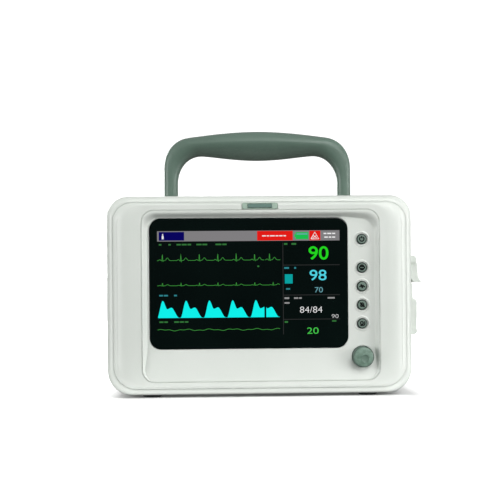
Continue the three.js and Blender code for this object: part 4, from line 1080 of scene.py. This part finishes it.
def slots(count, pitch, x, bottom, top):
    """A row of upright slots in the back, for air or for sound."""
    half = 1.2
    made = []
    for i in range(count):
        left = x + (i - (count - 1) / 2) * pitch - half
        outline = rounded(left, left + 2 * half, bottom, top, half - 0.05, steps=5)
        made.append(extruded(outline, "y", DEPTH - 5, DEPTH + 1))
    return made


def rear_housing():
    shell = cut(housing_block(), cut(housing_hollow(), handle_pocket(WALL)), handle_pocket(0))
    inner = POCKET.half_width - 1
    tools = pivot_rods(PIN_BORE.radius, inner, inner + WALL + 2)
    tools.append(side_block(BAY, 110, OUTSIDE, GAP))
    tools.append(extruded(side_outline(TRAY, GAP, TRAY.corner), "x", -OUTSIDE, -110))
    for x, y in FEET.values():
        tools.append(rod("z", FOOT_RADIUS + GAP, 0, FOOT_HEIGHT + 1.5, x, y))
    countersink = [(3.7, DEPTH - 2), (3.7, DEPTH - 0.6), (4.5, DEPTH + 0.2)]
    for x, z in SCREWS.values():
        tools += [rod("y", SCREW_HOLE, 110, 130, x, z), turned("y", countersink, x, z)]
    left = BATTERY.x - BATTERY.half_width - GAP
    right = BATTERY.x + BATTERY.half_width + GAP
    low, axle = BATTERY.bottom, BATTERY.axle
    tools.append(block(left, right, DEPTH - 10, DEPTH + 2, low - GAP, BATTERY.top + GAP))
    tools.append(rod("x", 1.1, left - 2.5, right + 2.5, DEPTH - axle - 0.2, low + axle))
    for port in (INLET, NETWORK):
        half_width, half_height = port.half_width + GAP, port.half_height + GAP
        tools.append(slab(port.x, PORT_Z, half_width, half_height, 110, 130))
    tools.append(rod("y", 4.3, 110, 130, GROUND_X, PORT_Z))
    tools += slots(7, 6, -75, 96, 128)
    tools += slots(8, 8, 64, 104, 132)
    stand_in(cut(shell, *tools), "rear_housing", "case_white", sharp=30)


def feet():
    radius = FOOT_RADIUS
    profile = [
        (radius - 3, 0.2), (radius - 2, 0.25), (radius - 1.6, 0), (radius - 0.9, 0),
        (radius - 0.4, 0.3), (radius, 1.2), (radius, FOOT_HEIGHT + 1.2),
    ]
    for name, (x, y) in FEET.items():
        stand_in(turned("z", profile, x, y), name, "rubber")


def screws():
    """Countersunk screws with a cross slot."""
    profile = [(1.5, 88), (1.5, 125.3), (3.4, 125.3), (3.4, 126.1), (2.9, 126.5), (1.6, 126.7)]
    for name, (x, z) in SCREWS.items():
        bars = [slab(x, z, 0.4, 2, 125.7, 128), slab(x, z, 2, 0.4, 125.7, 128)]
        stand_in(cut(turned("y", profile, x, z), *bars), name, "steel")


# ---- Handle

def handle_edge(side, bend, corner, shoulder, grip, middle):
    """One half of an edge: up the leg to the bend, round to the shoulder and on to the middle."""
    leg = [(-side, PIVOT_Z + (bend - PIVOT_Z) * part) for part in fractions(6)]
    leg += bezier((-side, bend), *corner, shoulder, steps=22)
    return leg + bezier(shoulder, grip[0], (grip[1], middle), (0, middle), steps=16)


def handle_ring(outer, inner, half_depth, share):
    """One section: squarish in the legs, with a ridge towards its outer side in the grip."""
    sides = 56
    ridge = 0.26 * share
    ring = []
    for i in range(sides):
        angle = 2 * math.pi * i / sides
        u = math.cos(angle)
        power = 2.7 - (1.15 if u > 0 else 1.05) * share
        root = 1 / (2.7 - (0.75 if u > 0 else 1.25) * share)
        across = ridge + u * (1 - ridge if u > 0 else 1 + ridge)
        depth = max(1 - abs(u) ** power, 0) ** root * (1 if math.sin(angle) >= 0 else -1)
        x, z = ((o + n) / 2 + (o - n) / 2 * across for o, n in zip(outer, inner))
        ring.append((x, PIVOT_Y - half_depth * depth, z))
    return ring


def handle():
    outer = handle_edge(
        LEG_OUTER_X, 197, ((-LEG_OUTER_X, 212), (-74, 223)), (-60.6, 224.8), ((-50, 226.2), -25),
        HANDLE_TOP,
    )
    inner = handle_edge(
        LEG_INNER_X, 184, ((-LEG_INNER_X, 196), (-63, 208.6)), (-48.5, 208.2), ((-38, 207.6), -20),
        GRIP_BOTTOM,
    )
    half = []
    for i, (a, b) in enumerate(zip(outer, inner)):
        share = smooth((i - 8) / (len(outer) - 12))
        depth = LEG_HALF_DEPTH + (GRIP_HALF_DEPTH - LEG_HALF_DEPTH) * share
        half.append(handle_ring(a, b, depth, share))
    mirrored = [[(-x, y, z) for x, y, z in ring] for ring in reversed(half[:-1])]
    eyes = pivot_rods(LEG_HALF_DEPTH, LEG_INNER_X, LEG_OUTER_X, edge=0.6)
    bores = pivot_rods(PIN_BORE.radius, PIN_BORE.start, LEG_OUTER_X + 2)
    bow = cut(joined(loft(half + mirrored), *eyes), *bores)
    stand_in(bow, "handle", "handle_green", "handle", sharp=50)


# ---- Recorder

def hinge_bore(part, front, back):
    return rod("y", HINGE_BORE, front, back, part.hinge_x, part.hinge_z)


def recorder_bay():
    """The tub that holds the paper, its flange and the ears of the two hinges."""
    front, back, wall, face = BAY.front, BAY.back, BAY.wall, BAY.flange
    tub = side_block(BAY, BAY.inner, face)
    flange = extruded(side_outline(BAY, RIM_WIDTH, 5), "x", HALF_WIDTH + GAP, face, edge=0.5)
    cavity = side_block(BAY, BAY.inner + wall, OUTSIDE, -wall)
    ears = []
    for y in (front, back - wall):
        for part in (DOOR, LATCH):
            x, z, radius = part.hinge_x, part.hinge_z, part.ear
            ears.append(joined(
                rod("y", radius, y, y + wall, x, z, edge=0.3),
                block(face - 2, x, y, y + wall, z - radius, z + radius),
            ))
    pins = [hinge_bore(part, front + 0.7, back + 1) for part in (DOOR, LATCH)]
    reach = Vector((PLATEN.x - DOOR.hinge_x, PLATEN.z - DOOR.hinge_z)).normalized()
    pinion = (PLATEN.x - PLATEN.to_pinion * reach.y, PLATEN.z + PLATEN.to_pinion * reach.x)
    shaft = rod("y", 1.6, back - wall - 1, back + 1, *pinion)
    body = cut(joined(cut(joined(tub, flange), cavity), *ears), *pins, shaft)
    stand_in(body, "recorder_bay", "case_white")


def recorder_door():
    """The door: a rolled lower edge, a finger scoop at the top and cheeks that carry the platen."""
    x, z, face, top = DOOR.hinge_x, DOOR.hinge_z, DOOR.face, DOOR.top
    front, back = EARS
    skin = arc_points(face - x, 180, 360, 20, x, z)
    skin += arc_points(2.4, 0, 90, 8, face - 2.4, 78.6)
    skin += bezier((face - 2.4, 81), (132.9, 81.5), (132.9, 86), steps=8)
    skin += [(132.9, top - 0.4), (132.5, top), (131.4, top), (131.4, 60)]
    cheek = [(132.4, 70), (132.4, top), (127, top), (121.5, 91), (121.5, 84), (126, 81), (130, 70)]
    body = joined(
        extruded(skin, "y", front, back, edge=0.35),
        extruded(cheek, "y", front, front + 2), extruded(cheek, "y", back - 2, back),
    )
    grooves = [
        rod("y", 0.35, front + 8, back - 8, face + 0.12, 60.5 + 1.6 * i, segments=12) for i in range(9)
    ]
    body = cut(
        body, hinge_bore(DOOR, front - 1, back + 1),
        rod("y", PLATEN.bore, front - 1, back + 1, PLATEN.x, PLATEN.z),
        block(130, 134.4, front + 3, back - 3, 60, 77), *grooves,
    )
    stand_in(body, "recorder_door", "case_white", "recorder_door")


def recorder_latch():
    """The release lever, hinged above with a lip for the finger below."""
    x, z, lip, low = LATCH.hinge_x, LATCH.hinge_z, LATCH.lip, LATCH.bottom
    front, back = EARS
    profile = arc_points(2.8, 63, 180, 12, x, z)
    profile += [(131.2, 100), (133.4, low + 0.4), (135.2, low), (lip - 0.5, low)]
    profile += bezier((lip - 0.5, low), (lip, low), (lip, low + 0.7), steps=4)
    profile += bezier((lip, low + 0.7), (138.2, 98.4), (137.8, 102.6), steps=10)
    profile += bezier((137.8, 102.6), (137.5, 108), (137.3, 112), steps=6)
    body = cut(extruded(profile, "y", front, back, edge=0.35), hinge_bore(LATCH, front - 1, back + 1))
    stand_in(body, "recorder_latch", "case_white", "recorder_latch")


# ---- Connectors and ports

def connector_panel():
    """The tray in the left-hand side, with a hole for each socket."""
    mouth = -HALF_WIDTH - 0.6
    body = extruded(side_outline(TRAY, 0, TRAY.corner), "x", mouth + 0.1, SEAT + 2)
    rim = extruded(
        side_outline(TRAY, RIM_WIDTH, TRAY.corner + 2), "x", mouth - 0.6, -HALF_WIDTH - GAP, edge=0.4
    )
    hollow = extruded(side_outline(TRAY, -2, TRAY.corner - 2), "x", mouth - 5, SEAT)
    holes = [rod("x", s.radius + GAP, -HALF_WIDTH, -100, s.y, s.z) for s in (*SOCKETS.values(), NIBP)]
    stand_in(cut(joined(body, rim), hollow, *holes), "connector_panel", "case_white")


def sockets():
    """Round sockets; the larger ones have a ring of pins."""
    face = 1.5 - HALF_WIDTH
    for name, s in SOCKETS.items():
        y, z, radius, bore = s.y, s.z, s.radius, s.bore
        body = turned("x", [
            (radius - 1.1, face), (radius - 0.4, face + 0.2), (radius, face + 0.8), (radius, SEAT + 2.3),
            (radius + 2, SEAT + 2.3), (radius + 2, SEAT + 4), (radius, SEAT + 4), (radius, SEAT + 8),
        ], y, z)
        mouth = [(bore + 0.7, face - 1), (bore + 0.7, face), (bore, face + 0.7), (bore, SEAT + 3)]
        stand_in(cut(body, turned("x", mouth, y, z)), name, "grey_plastic")
        if bore > 5:
            places = arc_points(0.6 * bore, 0, 300, 5, y, z)
            pins = [rod("x", 0.7, face + 3, SEAT + 4, *p, edge=0.3, segments=16) for p in places]
            settle(merged(name + "_pins", pins), name + "_pins", "brass")


def nibp_port():
    """The cuff's air port, with a barbed nose."""
    y, z, radius, bore = NIBP.y, NIBP.z, NIBP.radius, NIBP.bore
    start = 4 - HALF_WIDTH
    collar = turned("x", [
        (radius - 0.8, start), (radius, start + 0.8), (radius, SEAT + 2.3), (radius + 2, SEAT + 2.3),
        (radius + 2, SEAT + 4), (3, SEAT + 4), (3, SEAT + 12),
    ], y, z)
    nose = turned("x", [
        (3.2, start - 3.5), (4, start - 2.9), (4, start - 1.8), (3.4, start - 1.4), (4, start - 0.8),
        (4, start + 2),
    ], y, z)
    body = cut(joined(collar, nose), rod("x", bore, -HALF_WIDTH, SEAT + 13, y, z))
    stand_in(body, "nibp_port", "steel")


def power_inlet():
    x, z = INLET.x, PORT_Z
    flange = extruded(centred(x, z, 16, 12.5, 3), "y", DEPTH + GAP, DEPTH + 2, edge=0.4)
    body = slab(x, z, INLET.half_width, INLET.half_height, 104, 128)
    outline = [(-12, -8.2), (12, -8.2), (12, 4), (7.8, 8.2), (-7.8, 8.2), (-12, 4)]
    mouth = extruded([(x + across, z + up) for across, up in outline], "y", 112, 130)
    stand_in(cut(joined(flange, body), mouth), "power_inlet", "black_plastic")
    places = ((-7, -2), (7, -2), (0, 2.5))
    blades = [slab(x + across, z + up, 1, 2.4, 111, 120, edge=0.3) for across, up in places]
    settle(merged("inlet_blades", blades), "inlet_blades", "brass")


def network_port():
    x, z = NETWORK.x, PORT_Z
    body = slab(x, z, NETWORK.half_width, NETWORK.half_height, 106, DEPTH + 0.3, edge=0.3)
    key = block(x - 3, x + 3, 114, 130, z - 5.6, z - 3.5)
    stand_in(cut(body, slab(x, z, 5.9, 4, 114, 130), key), "network_port", "grey_plastic")
    contacts = [block(x + i - 0.25, x + i + 0.25, 115, 124, z + 3.2, z + 3.9) for i in range(-4, 5)]
    settle(merged("network_contacts", contacts), "network_contacts", "brass")


def ground_post():
    profile = [
        (2, 112), (2, 117), (5.5, 117), (5.5, 123.6), (4, 123.6), (4, 127.3), (5.8, 127.3), (6, 127.5),
        (6, 128.4), (5.8, 128.6), (2.8, 128.6), (2.8, 131.2), (2.2, 131.8), (2.2, 133), (3, 133.6),
        (3, 135.4), (2.4, 136),
    ]
    stand_in(turned("y", profile, GROUND_X, PORT_Z, 32), "ground_post", "brass")


def battery_door():
    """A flap on an axle along its lower edge, with a notch and ribs for the finger."""
    x, half, low, high = BATTERY.x, BATTERY.half_width, BATTERY.bottom, BATTERY.top
    radius = BATTERY.axle
    face = DEPTH - 0.2
    axle = (face - radius, low + radius)
    flap = block(x - half, x + half, face - BATTERY.thickness, face, low + radius, high, edge=0.4)
    barrel = rod("x", radius, x - half, x + half, *axle, edge=0.3)
    stub = rod("x", 0.8, x - half - 2, x + half + 2, *axle)
    notch = turned("y", [(8.4, face - 1.2), (9, face - 0.8), (9.8, face + 1)], x, high + 3)
    ribs = [
        rod("x", 0.6, x - 10, x + 10, face + 0.2, high - 9.5 - 2.4 * i, segments=16) for i in range(4)
    ]
    body = cut(joined(flap, barrel, stub), notch, *ribs)
    stand_in(body, "battery_door", "case_white", "battery_door")


# ---- Stage

# The surround's brightness; front is the share of it that is left where the window mirrors it
SURROUND = Dims(above=0.41, below=0.11, front=0.06)
SEEN_BACKGROUND = 1.2
MIDDLE = (0, 0, 0.1)
# Lights: place and target in metres, size in metres, power in watts
LIGHTS = {
    "key_light": ((0.6, -1.25, 1.1), MIDDLE, (1, 1), 16),
    "left_light": ((-1.25, -0.75, 0.2), MIDDLE, (0.7, 0.8), 12.5),
    "right_light": ((0.95, -0.45, 0.15), MIDDLE, (0.5, 0.6), 6.6),
    "back_light": ((-0.5, 1.7, 0.5), MIDDLE, (1.2, 0.8), 22),
    "floor_bounce": ((0, -0.0705, 0.0006), (0, -0.0705, 1), (0.36, 0.027), 0.032),
}
CAMERA = Dims(place=(-31, -900, 96), turn=-2.2, roll=-0.47, lens=77.6, shift=(-0.0294, 0.066))


def paint_cad_nodes():
    """Gives every CAD piece that is still shown the finish of its slot."""
    for item in frame["record"]["subparts"]:
        node = frame["nodes"][item["node"]]
        node.data.materials.clear()
        node.data.materials.append(MATERIALS[item["material_slot"]])


def floor():
    """A pale floor that throws no light back onto the object; its own faint glow stops under the case,
    which paints a shadow there.
    """
    bpy.ops.mesh.primitive_plane_add(size=6, location=(0, 1.2, 0))
    made = bpy.context.object
    made.name = "floor"
    made.data.transform(Matrix.Translation((0, 1.2, 0)))
    made.location = (0, 0, 0)
    made.visible_diffuse = False
    made.visible_glossy = False
    finish = Finish("floor", 0.7, Specular_IOR_Level=0.1, Emission_Color=(0.8, 0.8, 0.8, 1))
    # Painted shadow: the glow fades out over the case's footprint.
    away = finish.add("ShaderNodeVectorMath", {0: finish.place}, operation="ABSOLUTE").outputs[0]
    away = finish.add("ShaderNodeSeparateXYZ", {0: away})
    past = []
    for axis, edge in (("X", HALF_WIDTH * MM), ("Y", DEPTH / 2 * MM)):
        past.append(finish.spread(away.outputs[axis], 0, 1, edge - 0.004, edge + 0.02))
    outside = finish.add("ShaderNodeMath", {0: past[0], 1: past[1]}, operation="MAXIMUM").outputs[0]
    made.data.materials.append(finish.done(
        Base_Color=finish.blend(finish.patches(3, 2), (0.93, 0.93, 0.93, 1), (0.96, 0.96, 0.96, 1)),
        Emission_Strength=outside,
    ))


def world():
    """A surround that is bright above, dim below, and dark in front, where the glossy window mirrors it."""
    made = bpy.data.worlds.new("surround")
    bpy.context.scene.world = made
    nodes = Nodes(made)
    white = (1, 1, 1, 1)
    place = nodes.add("ShaderNodeTexCoord").outputs["Generated"]
    axes = nodes.add("ShaderNodeSeparateXYZ", {0: place}).outputs
    soft = {"interpolation_type": "SMOOTHSTEP"}
    height = nodes.spread(axes["Z"], SURROUND.below, SURROUND.above, -0.35, 0.5, **soft)
    front = nodes.spread(axes["Y"], SURROUND.front, 1.0, -0.96, -0.6, **soft)
    strength = nodes.add("ShaderNodeMath", {0: height, 1: front}, operation="MULTIPLY").outputs[0]
    lighting = nodes.add("ShaderNodeBackground", {"Color": white, "Strength": strength})
    seen = nodes.add("ShaderNodeBackground", {"Color": white, "Strength": SEEN_BACKGROUND})
    by_camera = nodes.add("ShaderNodeLightPath").outputs["Is Camera Ray"]
    mix = nodes.add("ShaderNodeMixShader", {0: by_camera, 1: lighting.outputs[0], 2: seen.outputs[0]})
    nodes.plug(mix.outputs[0], nodes.tree.nodes["World Output"].inputs["Surface"])


def lights():
    for name, (place, target, size, power) in LIGHTS.items():
        data = bpy.data.lights.new(name, "AREA")
        data.shape = "RECTANGLE"
        data.size, data.size_y = size
        data.energy = power
        made = in_scene(name, data)
        made.location = place
        made.rotation_euler = (Vector(target) - Vector(place)).to_track_quat("-Z", "Y").to_euler()
    bpy.data.objects["floor_bounce"].visible_camera = False


def camera():
    azimuth, roll = math.radians(CAMERA.turn), math.radians(CAMERA.roll)
    ahead = Vector((-math.sin(azimuth), math.cos(azimuth), 0))
    right = Vector((math.cos(azimuth), math.sin(azimuth), 0))
    up = right.cross(ahead)
    tilted_right = right * math.cos(roll) + up * math.sin(roll)
    tilted_up = up * math.cos(roll) - right * math.sin(roll)
    data = bpy.data.cameras.new("camera")
    data.sensor_width = 36
    data.lens = CAMERA.lens
    data.shift_x, data.shift_y = CAMERA.shift
    data.clip_end = 20
    made = in_scene("camera", data)
    basis = Matrix((tilted_right, tilted_up, -ahead)).transposed()
    made.matrix_world = Matrix.Translation(HOME @ Vector(CAMERA.place)) @ basis.to_4x4()
    bpy.context.scene.camera = made


paint_cad_nodes()
front_bezel()
screen_window()
alarm_light()
picture()
for name, z in BUTTON_LEVELS.items():
    push_button(name, z)
encoder_knob()
rear_housing()
feet()
screws()
handle()
recorder_bay()
recorder_door()
recorder_latch()
connector_panel()
sockets()
nibp_port()
power_inlet()
network_port()
ground_post()
battery_door()

floor()
world()
lights()
camera()
bpy.context.scene.view_settings.view_transform = "Standard"
